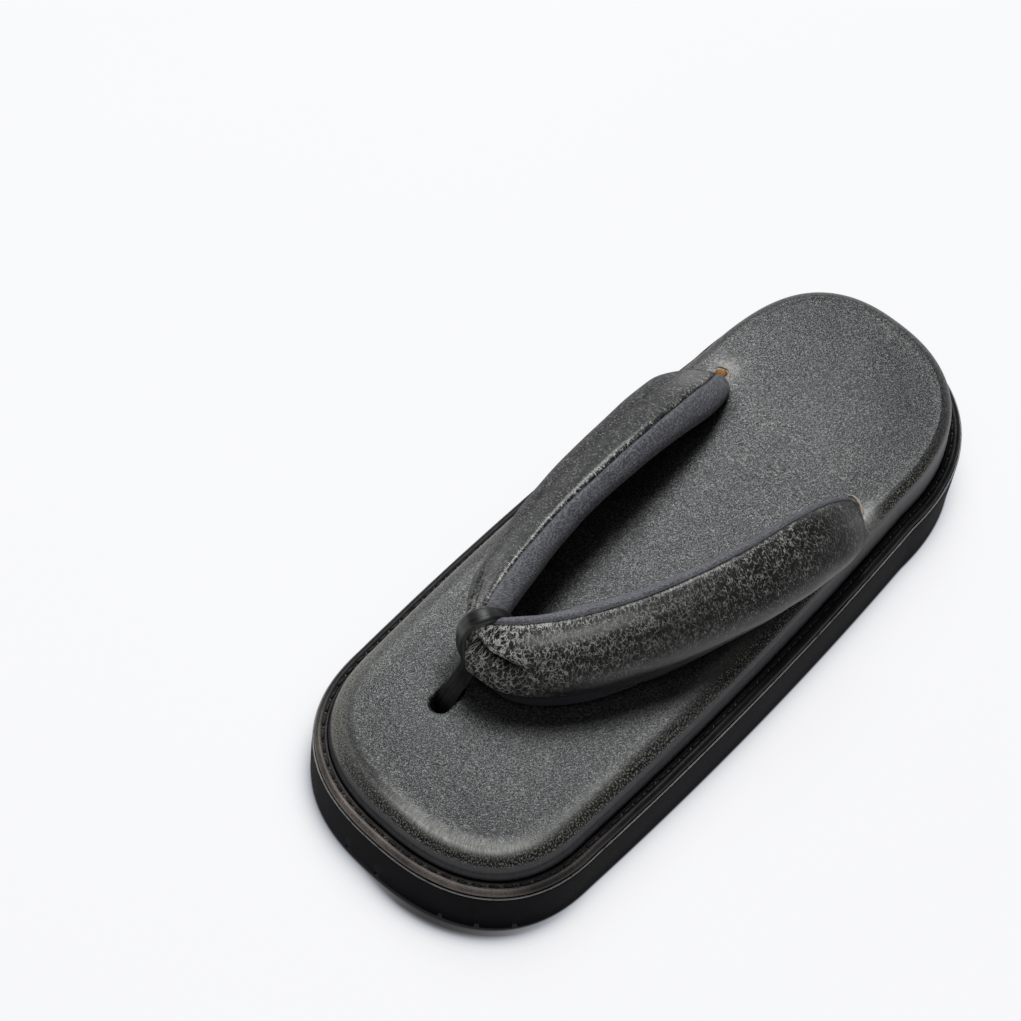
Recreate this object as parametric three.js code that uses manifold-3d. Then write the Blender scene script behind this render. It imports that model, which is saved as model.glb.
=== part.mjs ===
// Setta sandal for the left foot: rubber sole, stitched welt, padded leather footbed and a
// padded thong strap held by a narrow toe band.
// Millimetres, +Z up, toe at -Y, heel at +Y, medial side at -X. Origin on the ground under the
// middle of the sole.

import * as THREE from 'three';
import Module from 'manifold-3d';

const wasm = await Module();
wasm.setup();

// ---------------------------------------------------------------- driving sizes
const HALF_LENGTH = 140;                       // sole, at its upper edge
const TOE = { halfWidth: 56.7, reach: 49.5, power: 2.40, lean: -1.3 };
const HEEL = { halfWidth: 52.5, reach: 61.8, power: 2.33, lean: -2.1 };
const SIDE_BOW = 2.47;                         // the sides swell this much between toe and heel
const STEPS = { toe: 15, side: 6, heel: 15 };  // outline steps from tip to side, per side

const LIP = { mid: 27.8, slope: 0.0154 };      // height of the sole's upper edge, rising to the heel
const TOE_SPRING = { rise: 1.8, run: 42 };     // the bottom lifts towards the toe tip
const FOOTBED_TOP = { mid: 43.5, slope: 10 / 268 };
const RIM_RADIUS = 7.0;
const GAP = 0.25;                              // between stacked layers
const FIT = 0.35;                              // between curved pieces

// the bottom of the sole stands this far towards the medial side and the toe of its upper edge
const SOLE_SHIFT = { x: -1.4, y: -1.0 };
// inset from the sole's upper edge and height, one row for each ring of a layer
const SOLE_RINGS = [
  { inset: 0.8, rise: 0.0, from: 'ground', shift: SOLE_SHIFT },
  { inset: 0.0, rise: 0.9, from: 'ground', shift: SOLE_SHIFT },
  { inset: 0.0, rise: 6.0, from: 'ground', shift: SOLE_SHIFT },
  { inset: 0.0, rise: -1.0, from: 'lip' },
  { inset: 0.6, rise: 0.0, from: 'lip' },
];
const WELT_THICK = 2.7;
const WELT_RINGS = [
  { inset: 1.7, rise: GAP, from: 'lip' },
  { inset: 1.1, rise: GAP + 0.6, from: 'lip' },
  { inset: 1.2, rise: GAP + 1.6, from: 'lip' },
  { inset: 2.0, rise: GAP + WELT_THICK - 0.2, from: 'lip' },
  { inset: 2.8, rise: GAP + WELT_THICK, from: 'lip' },
];
const FOOTBED_BASE = GAP + WELT_THICK + GAP;   // above the lip
const FOOTBED_WALL = { foot: 5.7, rim: 6.5 };  // inset of the wall where it starts and where the rim begins

// notches of the tread round the toe: angle from the toe tip towards the lateral side (degrees)
const NOTCH = { width: 1.8, depth: 1.3, height: 4.0 };
const NOTCH_ANGLES = [-52, -33.7, -8.5, 1.5, 26, 41, 57];

// toe slot in the footbed
const SLOT = { x: -16.8, y: -87.6, width: 7.4, length: 14.5, turn: 2 };

// Straps: a padded band through sections. Each row gives the inner edge (upper, towards the foot),
// the outer edge (lower, away from the foot) and half the thickness.
const COLUMNS = ['ix', 'iy', 'iz', 'ox', 'oy', 'oz', 'half'];
const LATERAL_STRAP = [
  [-14.8, -68.8, 72.2, -14.8, -77.6, 47.6, 5.2],
  [-9.6, -63.8, 72.5, -2.0, -75.5, 47.0, 6.3],
  [-3.7, -56.6, 72.2, 9.3, -67.8, 47.6, 7.0],
  [3.7, -45.5, 72.0, 20.0, -55.2, 48.6, 7.4],
  [13.7, -26.6, 72.0, 31.6, -34.5, 49.9, 7.6],
  [21.5, -7.4, 71.7, 40.0, -14.0, 50.8, 7.6],
  [25.9, 9.1, 70.3, 45.4, 3.1, 51.0, 7.6],
  [28.2, 23.1, 68.0, 48.4, 17.2, 50.2, 7.4],
  [29.8, 36.6, 64.6, 49.8, 29.6, 48.6, 7.0],
  [31.4, 49.5, 58.8, 50.2, 40.4, 46.6, 6.2],
  [33.2, 59.5, 51.0, 49.0, 48.6, 43.6, 5.0],
  [35.2, 62.6, 43.6, 47.2, 53.2, 40.6, 3.6],
  [36.2, 63.0, 38.4, 45.6, 55.4, 37.4, 3.0],
];
const MEDIAL_STRAP = [
  [-16.4, -67.6, 69.2, -18.8, -72.6, 54.8, 4.8],
  [-17.7, -58.3, 69.4, -26.6, -64.4, 50.6, 6.4],
  [-19.4, -48.2, 68.2, -34.7, -53.8, 47.8, 7.4],
  [-21.2, -38.3, 67.6, -38.5, -41.3, 48.0, 7.6],
  [-23.1, -23.8, 67.6, -42.4, -24.8, 49.2, 7.5],
  [-24.4, -7.4, 68.0, -44.8, -8.0, 50.7, 7.4],
  [-24.9, 11.4, 67.4, -45.9, 10.2, 51.4, 7.5],
  [-25.0, 30.5, 64.8, -46.9, 27.9, 50.6, 7.6],
  [-25.2, 47.6, 60.0, -48.3, 42.2, 48.4, 7.2],
  [-26.6, 60.0, 53.6, -49.2, 50.4, 45.6, 6.0],
  [-29.4, 68.0, 48.4, -47.8, 55.6, 43.2, 4.8],
  [-32.4, 70.6, 43.0, -46.0, 58.8, 40.6, 3.6],
  [-34.0, 70.6, 38.4, -44.4, 60.6, 37.4, 3.0],
];
const STRAP = { stations: 40, ring: 24, power: 2.3, noseSteps: 4 };
const NOSE_REACH = { lateral: 5.5, medial: 3.0 };

// toe band: a loop round the junction of the straps and a tail into the slot, in the upright
// plane through slot and junction; v runs back from the junction, z up
const BAND = { width: 5.9, thick: 1.7, tailWidth: 6.2, tailThick: 3.0, x: -17.3, y: -73.0, headingDeg: -2 };
const LOOP = { v: 1.8, z: 59.1, halfLong: 13.4, halfShort: 7.2, leanDeg: 16, steps: 40 };
const TAIL = [
  { v: -1.6, z: 51.0 },
  { v: -6.4, z: 45.2 },
  { v: -13.2, z: 40.8 },
  { v: -16.2, z: 37.0 },
  { v: -16.9, z: 30.2 },
];

// ---------------------------------------------------------------- sole outline
const rad = (d) => d * Math.PI / 180;
const lip = (y) => LIP.mid + LIP.slope * y;
const footbedTop = (y) => FOOTBED_TOP.mid + FOOTBED_TOP.slope * y;
const ground = (y) => {
  const t = Math.max(0, (TOE_SPRING.run - HALF_LENGTH - y) / TOE_SPRING.run);
  return TOE_SPRING.rise * t * t;
};

// half outline from toe tip to heel tip; side is +1 for lateral, -1 for medial
function halfOutline(side) {
  const pts = [];
  const end = (e, dir, f) => new THREE.Vector2(
    side * e.halfWidth * Math.sin(f) ** (2 / e.power) + e.lean * Math.cos(f) ** 2,
    dir * (HALF_LENGTH - e.reach + e.reach * Math.max(0, Math.cos(f)) ** (2 / e.power)));
  for (let i = 0; i <= STEPS.toe; i++) pts.push(end(TOE, -1, i / STEPS.toe * Math.PI / 2));
  const y0 = -(HALF_LENGTH - TOE.reach), y1 = HALF_LENGTH - HEEL.reach;
  for (let i = 1; i < STEPS.side; i++) {
    const t = i / STEPS.side;
    const w = TOE.halfWidth + (HEEL.halfWidth - TOE.halfWidth) * t + SIDE_BOW * 4 * t * (1 - t);
    pts.push(new THREE.Vector2(side * w, y0 + (y1 - y0) * t));
  }
  for (let i = STEPS.heel; i >= 0; i--) pts.push(end(HEEL, 1, i / STEPS.heel * Math.PI / 2));
  return pts;
}
// closed outline, counter-clockwise seen from above, starting at the toe tip
const OUTLINE = (() => {
  const right = halfOutline(1), left = halfOutline(-1);
  return right.concat(left.slice(1, -1).reverse());
})();
function insetOutline(d) {
  const n = OUTLINE.length;
  return OUTLINE.map((p, i) => {
    const a = OUTLINE[(i + n - 1) % n], b = OUTLINE[(i + 1) % n];
    const t = b.clone().sub(a).normalize();
    return new THREE.Vector2(p.x - t.y * d, p.y + t.x * d);
  });
}

// ---------------------------------------------------------------- mesh helpers
function geometryOf(points, triangles) {
  const g = new THREE.BufferGeometry();
  const pos = new Float32Array(points.length * 3);
  points.forEach((p, i) => p.toArray(pos, i * 3));
  g.setAttribute('position', new THREE.BufferAttribute(pos, 3));
  g.setIndex(triangles.flat());
  return g;
}
function signedVolume(points, triangles) {
  let v = 0;
  const c = new THREE.Vector3();
  for (const [a, b, d] of triangles) v += points[a].dot(c.crossVectors(points[b], points[d])) / 6;
  return v;
}
function outward(points, triangles) {
  return signedVolume(points, triangles) < 0 ? triangles.map(([a, b, c]) => [a, c, b]) : triangles;
}
// loft of closed rings with equal counts; strip caps join the two halves of the first and last ring
function loftLayer(rings) {
  const n = rings[0].length, points = rings.flat(), tris = [];
  for (let k = 0; k + 1 < rings.length; k++) {
    for (let i = 0; i < n; i++) {
      const a = k * n + i, b = k * n + (i + 1) % n, c = a + n, d = b + n;
      tris.push([a, b, d], [a, d, c]);
    }
  }
  const cap = (base, flip) => {
    const put = (a, b, c) => tris.push(flip ? [base + a, base + c, base + b] : [base + a, base + b, base + c]);
    const half = n / 2;
    put(0, 1, n - 1);
    for (let i = 1; i < half - 1; i++) {
      put(i, i + 1, n - i - 1);
      put(i, n - i - 1, n - i);
    }
    put(half - 1, half, half + 1);
  };
  cap(0, true);
  cap((rings.length - 1) * n, false);
  return { points, tris: outward(points, tris) };
}
function solidOf({ points, tris }) {
  const vertProperties = new Float32Array(points.length * 3);
  points.forEach((p, i) => p.toArray(vertProperties, i * 3));
  return new wasm.Manifold(new wasm.Mesh({ numProp: 3, vertProperties, triVerts: new Uint32Array(tris.flat()) }));
}
function solidFromGeometry(geometry) {
  const pos = geometry.attributes.position, key = new Map(), points = [], remap = [];
  for (let i = 0; i < pos.count; i++) {
    const p = new THREE.Vector3().fromBufferAttribute(pos, i);
    const k = [p.x, p.y, p.z].map((v) => Math.round(v * 1e4)).join(',');
    if (!key.has(k)) { key.set(k, points.length); points.push(p); }
    remap.push(key.get(k));
  }
  const idx = geometry.index ? Array.from(geometry.index.array) : remap.map((_, i) => i), tris = [];
  for (let i = 0; i < idx.length; i += 3) {
    const [a, b, c] = [remap[idx[i]], remap[idx[i + 1]], remap[idx[i + 2]]];
    if (a !== b && b !== c && a !== c) tris.push([a, b, c]);
  }
  return solidOf({ points, tris: outward(points, tris) });
}
function geometryFromSolid(solid) {
  const m = solid.getMesh(), points = [], tris = [];
  for (let i = 0; i < m.vertProperties.length; i += m.numProp) {
    points.push(new THREE.Vector3(m.vertProperties[i], m.vertProperties[i + 1], m.vertProperties[i + 2]));
  }
  for (let i = 0; i < m.triVerts.length; i += 3) tris.push([m.triVerts[i], m.triVerts[i + 1], m.triVerts[i + 2]]);
  return geometryOf(points, tris);
}

// ---------------------------------------------------------------- sole, welt, footbed
function ringAt({ inset, rise, from, shift = { x: 0, y: 0 } }) {
  const base = from === 'ground' ? ground : lip;
  return insetOutline(inset).map((p) => new THREE.Vector3(p.x + shift.x, p.y + shift.y, base(p.y) + rise));
}
function soleSolid() {
  let solid = solidOf(loftLayer(SOLE_RINGS.map(ringAt)));
  for (const deg of NOTCH_ANGLES) {
    // the notch follows the edge of the toe, whose form is a rounded end
    const f = rad(Math.abs(deg)), side = Math.sign(deg);
    const x = side * TOE.halfWidth * Math.sin(f) ** (2 / TOE.power) + TOE.lean * Math.cos(f) ** 2;
    const y = -(HALF_LENGTH - TOE.reach + TOE.reach * Math.cos(f) ** (2 / TOE.power));
    const out = new THREE.Vector2(
      side * (Math.abs(x) / TOE.halfWidth) ** (TOE.power - 1) / TOE.halfWidth,
      -(((-y - HALF_LENGTH + TOE.reach) / TOE.reach) ** (TOE.power - 1)) / TOE.reach).normalize();
    const box = new THREE.BoxGeometry(NOTCH.width, 6, 10);
    box.rotateZ(Math.atan2(out.y, out.x) - Math.PI / 2);
    const back = 3 - NOTCH.depth;
    box.translate(x + out.x * back + SOLE_SHIFT.x, y + out.y * back + SOLE_SHIFT.y, ground(y) + NOTCH.height - 5);
    solid = solid.subtract(solidFromGeometry(box));
  }
  return solid;
}
function weltSolid() {
  return solidOf(loftLayer(WELT_RINGS.map(ringAt)));
}
function footbedBlank() {
  const rings = [
    ringAt({ inset: FOOTBED_WALL.foot + 0.9, rise: FOOTBED_BASE, from: 'lip' }),
    ringAt({ inset: FOOTBED_WALL.foot, rise: FOOTBED_BASE + 1.0, from: 'lip' }),
  ];
  const steps = 6;
  for (let i = 0; i <= steps; i++) {
    const a = i / steps * Math.PI / 2;
    rings.push(insetOutline(FOOTBED_WALL.rim + RIM_RADIUS * (1 - Math.cos(a))).map(
      (p) => new THREE.Vector3(p.x, p.y, footbedTop(p.y) - RIM_RADIUS * (1 - Math.sin(a)))));
  }
  return solidOf(loftLayer(rings));
}
function slotCutter() {
  const r = SLOT.width / 2, s = SLOT.length / 2 - r, shape = new THREE.Shape();
  shape.absarc(0, s, r, 0, Math.PI, false);
  shape.absarc(0, -s, r, Math.PI, 2 * Math.PI, false);
  const g = new THREE.ExtrudeGeometry(shape, { depth: 40, bevelEnabled: false, curveSegments: 8 });
  g.rotateZ(rad(SLOT.turn));
  g.translate(SLOT.x, SLOT.y, 15);
  return solidFromGeometry(g);
}

// ---------------------------------------------------------------- straps
function strapSections(table, grow) {
  const rows = table.map((r) => Object.fromEntries(COLUMNS.map((c, i) => [c, r[i]])));
  const inner = new THREE.CatmullRomCurve3(rows.map((r) => new THREE.Vector3(r.ix, r.iy, r.iz)), false, 'catmullrom', 0.5);
  const outer = new THREE.CatmullRomCurve3(rows.map((r) => new THREE.Vector3(r.ox, r.oy, r.oz)), false, 'catmullrom', 0.5);
  const half = new THREE.CatmullRomCurve3(rows.map((r, i) => new THREE.Vector3(i, r.half, 0)), false, 'catmullrom', 0.5);
  const at = (t) => {
    const a = inner.getPoint(t), b = outer.getPoint(t);
    return { centre: a.clone().add(b).multiplyScalar(0.5), w: b.clone().sub(a).multiplyScalar(0.5), half: half.getPoint(t).y };
  };
  const list = [];
  for (let i = 0; i <= STRAP.stations; i++) {
    const t = i / STRAP.stations, e = 0.004, s = at(t);
    const ahead = at(Math.min(1, t + e)).centre.sub(at(Math.max(0, t - e)).centre).normalize();
    const wLen = s.w.length();
    const normal = new THREE.Vector3().crossVectors(s.w, ahead).normalize();
    list.push({ centre: s.centre, w: s.w.clone().multiplyScalar((wLen + grow) / wLen), normal, ahead, half: s.half + grow });
  }
  return list;
}
function ringOf(sec, scale, shift) {
  const pts = [], e = 2 / STRAP.power;
  for (let i = 0; i < STRAP.ring; i++) {
    const a = i / STRAP.ring * 2 * Math.PI, c = Math.cos(a), s = Math.sin(a);
    const u = Math.sign(c) * Math.abs(c) ** e * scale, v = Math.sign(s) * Math.abs(s) ** e * scale * sec.half;
    pts.push(sec.centre.clone().addScaledVector(sec.w, u).addScaledVector(sec.normal, v).addScaledVector(sec.ahead, shift));
  }
  return pts;
}
function strapSolid(table, noseReach, grow) {
  const secs = strapSections(table, grow), rings = [];
  const first = secs[0], last = secs[secs.length - 1];
  for (let k = STRAP.noseSteps; k >= 1; k--) {
    const a = k / (STRAP.noseSteps + 0.6) * Math.PI / 2;
    rings.push(ringOf(first, Math.cos(a), -(noseReach + grow) * Math.sin(a)));
  }
  secs.forEach((s) => rings.push(ringOf(s, 1, 0)));
  rings.push(ringOf(last, 0.8, 0.6 + grow));
  const n = STRAP.ring, points = rings.flat(), tris = [];
  for (let k = 0; k + 1 < rings.length; k++) {
    for (let i = 0; i < n; i++) {
      const a = k * n + i, b = k * n + (i + 1) % n;
      tris.push([a, b, b + n], [a, b + n, a + n]);
    }
  }
  const close = (base, tip, flip) => {
    points.push(tip);
    for (let i = 0; i < n; i++) {
      const a = base + i, b = base + (i + 1) % n;
      tris.push(flip ? [points.length - 1, b, a] : [points.length - 1, a, b]);
    }
  };
  close(0, first.centre.clone().addScaledVector(first.ahead, -(noseReach + grow)), true);
  close((rings.length - 1) * n, last.centre.clone().addScaledVector(last.ahead, 0.6 + grow), false);
  return solidOf({ points, tris: outward(points, tris) });
}
const strapsSolid = (grow) => strapSolid(LATERAL_STRAP, NOSE_REACH.lateral, grow)
  .add(strapSolid(MEDIAL_STRAP, NOSE_REACH.medial, grow));

// ---------------------------------------------------------------- toe band
// prism across the band from a closed outline in the (v, z) plane
function bandPrism(outline, width) {
  const g = new THREE.ExtrudeGeometry(new THREE.Shape(outline), { depth: width, bevelEnabled: false });
  g.translate(0, 0, -width / 2);
  // shape x -> v (back), shape y -> z, extrusion -> across
  const h = rad(BAND.headingDeg);
  const back = new THREE.Vector3(Math.sin(h), Math.cos(h), 0), up = new THREE.Vector3(0, 0, 1);
  const across = new THREE.Vector3().crossVectors(back, up);
  g.applyMatrix4(new THREE.Matrix4().makeBasis(back, up, across).setPosition(BAND.x, BAND.y, 0));
  return solidFromGeometry(g);
}
function ovalOutline(halfLong, halfShort) {
  const lean = rad(LOOP.leanDeg), pts = [];
  for (let i = 0; i < LOOP.steps; i++) {
    const a = i / LOOP.steps * 2 * Math.PI;
    const p = halfLong * Math.cos(a), q = halfShort * Math.sin(a);
    pts.push(new THREE.Vector2(LOOP.v + p * Math.sin(lean) - q * Math.cos(lean), LOOP.z + p * Math.cos(lean) + q * Math.sin(lean)));
  }
  return pts;
}
function tailOutline() {
  const pts = TAIL.map((r) => new THREE.Vector2(r.v, r.z)), near = [], far = [];
  pts.forEach((p, i) => {
    const t = pts[Math.min(i + 1, pts.length - 1)].clone().sub(pts[Math.max(i - 1, 0)]).normalize();
    const n = new THREE.Vector2(-t.y, t.x).multiplyScalar(BAND.tailThick / 2);
    near.push(p.clone().add(n));
    far.push(p.clone().sub(n));
  });
  return near.concat(far.reverse());
}
function bandSolid() {
  const loop = bandPrism(ovalOutline(LOOP.halfLong, LOOP.halfShort), BAND.width)
    .subtract(bandPrism(ovalOutline(LOOP.halfLong - BAND.thick, LOOP.halfShort - BAND.thick), BAND.width + 2));
  return loop.add(bandPrism(tailOutline(), BAND.tailWidth));
}

// ---------------------------------------------------------------- assembly
const straps = strapsSolid(0);
const strapRoom = strapsSolid(FIT);
const footbed = footbedBlank().subtract(strapRoom).subtract(slotCutter());
const band = bandSolid().subtract(strapRoom);

const material = (color, roughness, metalness = 0) => new THREE.MeshStandardMaterial({ color, roughness, metalness });
function piece(name, solid, mat) {
  const mesh = new THREE.Mesh(geometryFromSolid(solid), mat);
  mesh.name = name;
  return mesh;
}

const sandal = new THREE.Group();
sandal.name = 'setta_sandal';
sandal.add(
  piece('outsole', soleSolid(), material(0x1b1b1d, 0.7)),
  piece('welt', weltSolid(), material(0x2a2624, 0.5)),
  piece('footbed', footbed, material(0x45484b, 0.55)),
  piece('hanao_strap', straps, material(0x2c2c2d, 0.45)),
  piece('toe_band', band, material(0x151516, 0.4)),
);

export default sandal;
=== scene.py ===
"""Looks of the left setta sandal: rubber sole, stitched welt, padded leather footbed, padded thong
straps with a crackled leather face and a suede lining, and a satin toe band.
Sizes are in millimetres and become metres when a mesh is made. Toe at -Y, medial side at -X."""

import math

import bpy
import numpy as np
from mathutils import Matrix, Vector
from mathutils.geometry import delaunay_2d_cdt


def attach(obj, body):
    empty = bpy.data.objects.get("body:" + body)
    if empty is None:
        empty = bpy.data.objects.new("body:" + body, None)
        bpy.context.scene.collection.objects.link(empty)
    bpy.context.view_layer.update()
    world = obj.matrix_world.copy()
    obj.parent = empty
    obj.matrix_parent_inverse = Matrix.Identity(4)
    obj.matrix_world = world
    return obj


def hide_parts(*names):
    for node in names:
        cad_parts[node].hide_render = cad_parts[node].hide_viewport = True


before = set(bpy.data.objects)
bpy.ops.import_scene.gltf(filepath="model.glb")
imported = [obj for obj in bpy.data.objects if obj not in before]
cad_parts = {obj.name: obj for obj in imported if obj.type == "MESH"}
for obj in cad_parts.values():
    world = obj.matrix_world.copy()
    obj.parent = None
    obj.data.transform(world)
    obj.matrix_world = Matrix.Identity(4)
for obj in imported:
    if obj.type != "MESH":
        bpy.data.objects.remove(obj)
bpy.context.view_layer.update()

MM = 0.001

# ------------------------------------------------------------------ sizes shared with the solids
HALF_LENGTH = 140.0
TOE = dict(half_width=56.7, reach=49.5, power=2.40, lean=-1.3)
HEEL = dict(half_width=52.5, reach=61.8, power=2.33, lean=-2.1)
SIDE_BOW = 2.47
HEEL_TRIM = 2.0  # the rounded back edge ends this much short of the full length
SOLE_SHIFT = np.array([-1.4, -1.0])
NOTCH = dict(width=1.8, depth=1.3, height=4.0)
NOTCH_ANGLES = (-52, -33.7, -8.5, 1.5, 26, 41, 57)
WALL_FOOT, WALL_RIM, RIM_RADIUS = 5.7, 6.5, 7.0
SLOT = dict(x=-16.8, y=-87.6, width=7.4, length=14.5, turn=2.0)

# inner (upper) edge, outer (lower) edge, half thickness
LATERAL = np.array([
    [-14.8, -68.8, 72.2, -14.8, -77.6, 47.6, 5.2],
    [-9.6, -63.8, 72.5, -2.0, -75.5, 47.0, 6.3],
    [-3.7, -56.6, 72.2, 9.3, -67.8, 47.6, 7.0],
    [3.7, -45.5, 72.0, 20.0, -55.2, 48.6, 7.4],
    [13.7, -26.6, 72.0, 31.6, -34.5, 49.9, 7.6],
    [21.5, -7.4, 71.7, 40.0, -14.0, 50.8, 7.6],
    [25.9, 9.1, 70.3, 45.4, 3.1, 51.0, 7.6],
    [28.2, 23.1, 68.0, 48.4, 17.2, 50.2, 7.4],
    [29.8, 36.6, 64.6, 49.8, 29.6, 48.6, 7.0],
    [31.4, 49.5, 58.8, 50.2, 40.4, 46.6, 6.2],
    [33.2, 59.5, 51.0, 49.0, 48.6, 43.6, 5.0],
    [35.2, 62.6, 43.6, 47.2, 53.2, 40.6, 3.6],
    [36.2, 63.0, 38.4, 45.6, 55.4, 37.4, 3.0],
])
MEDIAL = np.array([
    [-16.4, -67.6, 69.2, -18.8, -72.6, 54.8, 4.8],
    [-17.7, -58.3, 69.4, -26.6, -64.4, 50.6, 6.4],
    [-19.4, -48.2, 68.2, -34.7, -53.8, 47.8, 7.4],
    [-21.2, -38.3, 67.6, -38.5, -41.3, 48.0, 7.6],
    [-23.1, -23.8, 67.6, -42.4, -24.8, 49.2, 7.5],
    [-24.4, -7.4, 68.0, -44.8, -8.0, 50.7, 7.4],
    [-24.9, 11.4, 67.4, -45.9, 10.2, 51.4, 7.5],
    [-25.0, 30.5, 64.8, -46.9, 27.9, 50.6, 7.6],
    [-25.2, 47.6, 60.0, -48.3, 42.2, 48.4, 7.2],
    [-26.6, 60.0, 53.6, -49.2, 50.4, 45.6, 6.0],
    [-29.4, 68.0, 48.4, -47.8, 55.6, 43.2, 4.8],
    [-32.4, 70.6, 43.0, -46.0, 58.8, 40.6, 3.6],
    [-34.0, 70.6, 38.4, -44.4, 60.6, 37.4, 3.0],
])
SECTION_POWER = 2.3
NOSE_REACH = dict(lateral=4.4, medial=3.0)

BAND = dict(width=5.9, thick=1.7, tail_width=6.2, x=-17.3, y=-73.0, heading=-2.0)
LOOP = dict(v=1.8, z=59.1, half_long=13.4, half_short=7.2, lean=16.0)
TAIL = ((-1.6, 51.0), (-6.4, 45.2), (-13.2, 40.8), (-16.2, 37.0), (-16.9, 31.5))


def lip(y):
    return 27.8 + 0.0154 * y


def footbed_top(y):
    return 43.5 + 10 / 268 * y


def rim_radius(y):
    """The rim of the footbed is tighter towards the heel."""
    return 7.0 - 2.1 * smooth(y, 20, 90)


def rim_inset(y):
    return WALL_RIM - 0.3 * smooth(y, 20, 90) - 1.0 * smooth(y, 92, 128)


def ground(y):
    t = np.maximum(0, (42 - HALF_LENGTH - y) / 42)
    return 1.8 * t * t


# ------------------------------------------------------------------ small helpers
def smooth(x, a, b):
    t = np.clip((np.asarray(x, float) - a) / (b - a), 0, 1)
    return t * t * (3 - 2 * t)


def bell(x, centre, width):
    return np.exp(-(((np.asarray(x, float) - centre) / width) ** 2))


def hash_noise(seed, n):
    return np.random.default_rng(seed).random(n)


def wave_noise(x, seed, lengths):
    """Smooth one-dimensional noise from a few sine waves of the given wavelengths."""
    rng = np.random.default_rng(seed)
    out = np.zeros_like(np.asarray(x, float))
    for wl in lengths:
        out += np.sin(2 * math.pi * (np.asarray(x) / wl + rng.random())) * (0.6 + 0.4 * rng.random())
    return out / len(lengths)


def mesh_object(name, points, faces, materials, face_material=None, attributes=None, smooth_shade=True):
    me = bpy.data.meshes.new(name)
    me.from_pydata((np.asarray(points, float) * MM).tolist(), [], [list(map(int, f)) for f in faces])
    for m in materials:
        me.materials.append(m)
    if face_material is not None:
        me.polygons.foreach_set("material_index", np.asarray(face_material, np.int32))
    me.polygons.foreach_set("use_smooth", np.full(len(me.polygons), smooth_shade))
    for key, values in (attributes or {}).items():
        values = np.asarray(values, np.float32)
        if values.ndim == 1:
            me.attributes.new(key, "FLOAT", "POINT").data.foreach_set("value", values)
        else:
            me.attributes.new(key, "FLOAT_VECTOR", "POINT").data.foreach_set("vector", values.ravel())
    me.update()
    o = bpy.data.objects.new(name, me)
    bpy.context.scene.collection.objects.link(o)
    return o


def grid_faces(rows, cols, wrap=True, base=0):
    """Quads between rows of vertices; columns close on themselves when wrap is set."""
    i, j = np.meshgrid(np.arange(rows - 1), np.arange(cols if wrap else cols - 1), indexing="ij")
    a = base + i * cols + j
    b = base + i * cols + (j + 1) % cols
    return np.stack([a, b, b + cols, a + cols], -1).reshape(-1, 4)


def settle_normals(o):
    """Turns the faces of a closed piece outward."""
    import bmesh
    bm = bmesh.new()
    bm.from_mesh(o.data)
    bmesh.ops.recalc_face_normals(bm, faces=bm.faces)
    bm.to_mesh(o.data)
    bm.free()


# ------------------------------------------------------------------ sole outline
def outline_dense(steps=700):
    def end(e, sign, side, f):
        x = side * e["half_width"] * np.sin(f) ** (2 / e["power"]) + e["lean"] * np.cos(f) ** 2
        y = sign * (HALF_LENGTH - e["reach"] + e["reach"] * np.maximum(0, np.cos(f)) ** (2 / e["power"]))
        return np.c_[x, y]

    f = np.linspace(0, math.pi / 2, steps) ** 1.0
    y0, y1 = -(HALF_LENGTH - TOE["reach"]), HALF_LENGTH - HEEL["reach"]
    t = np.linspace(0, 1, steps)[1:-1]
    w = TOE["half_width"] + (HEEL["half_width"] - TOE["half_width"]) * t + SIDE_BOW * 4 * t * (1 - t)
    halves = []
    for side in (1, -1):
        halves.append(np.vstack([end(TOE, -1, side, f), np.c_[side * w, y0 + (y1 - y0) * t], end(HEEL, 1, side, f[::-1])]))
    c = np.vstack([halves[0], halves[1][1:-1][::-1]])
    c[:, 1] -= HEEL_TRIM * np.clip((c[:, 1] - y1) / HEEL["reach"], 0, 1)
    return c


class Outline:
    """The sole's upper edge, counter-clockwise from the toe tip, sampled at given arc lengths."""

    def __init__(self, n, extra=()):
        c = outline_dense()
        c = np.vstack([c, c[:1]])
        s = np.r_[0, np.cumsum(np.linalg.norm(np.diff(c, axis=0), axis=1))]
        keep = np.r_[True, np.diff(s) > 1e-6]
        self.curve, self.arc = c[keep], s[keep]
        self.length = self.arc[-1]
        at = np.linspace(0, self.length, n, endpoint=False)
        if len(extra):
            extra = np.asarray(extra) % self.length
            near = np.min(np.abs(at[:, None] - extra[None]), 1)
            at = np.sort(np.r_[at[near > 0.25], extra])
        self.s = at
        self.p = self.point(at)
        h = 1.2
        d = self.point(at + h) - self.point(at - h)
        d /= np.linalg.norm(d, axis=1)[:, None]
        self.out = np.c_[d[:, 1], -d[:, 0]]
        self.n = len(at)

    def point(self, s):
        s = np.asarray(s) % self.length
        return np.c_[np.interp(s, self.arc, self.curve[:, 0]), np.interp(s, self.arc, self.curve[:, 1])]

    def inset(self, d):
        return self.p - self.out * np.asarray(d).reshape(-1, 1) if np.ndim(d) else self.p - self.out * d

    def arc_of_angle(self, degrees):
        f = math.radians(abs(degrees))
        side = 1 if degrees >= 0 else -1
        x = side * TOE["half_width"] * math.sin(f) ** (2 / TOE["power"]) + TOE["lean"] * math.cos(f) ** 2
        y = -(HALF_LENGTH - TOE["reach"] + TOE["reach"] * math.cos(f) ** (2 / TOE["power"]))
        return self.arc[np.argmin(np.hypot(self.curve[:, 0] - x, self.curve[:, 1] - y))]


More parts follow.
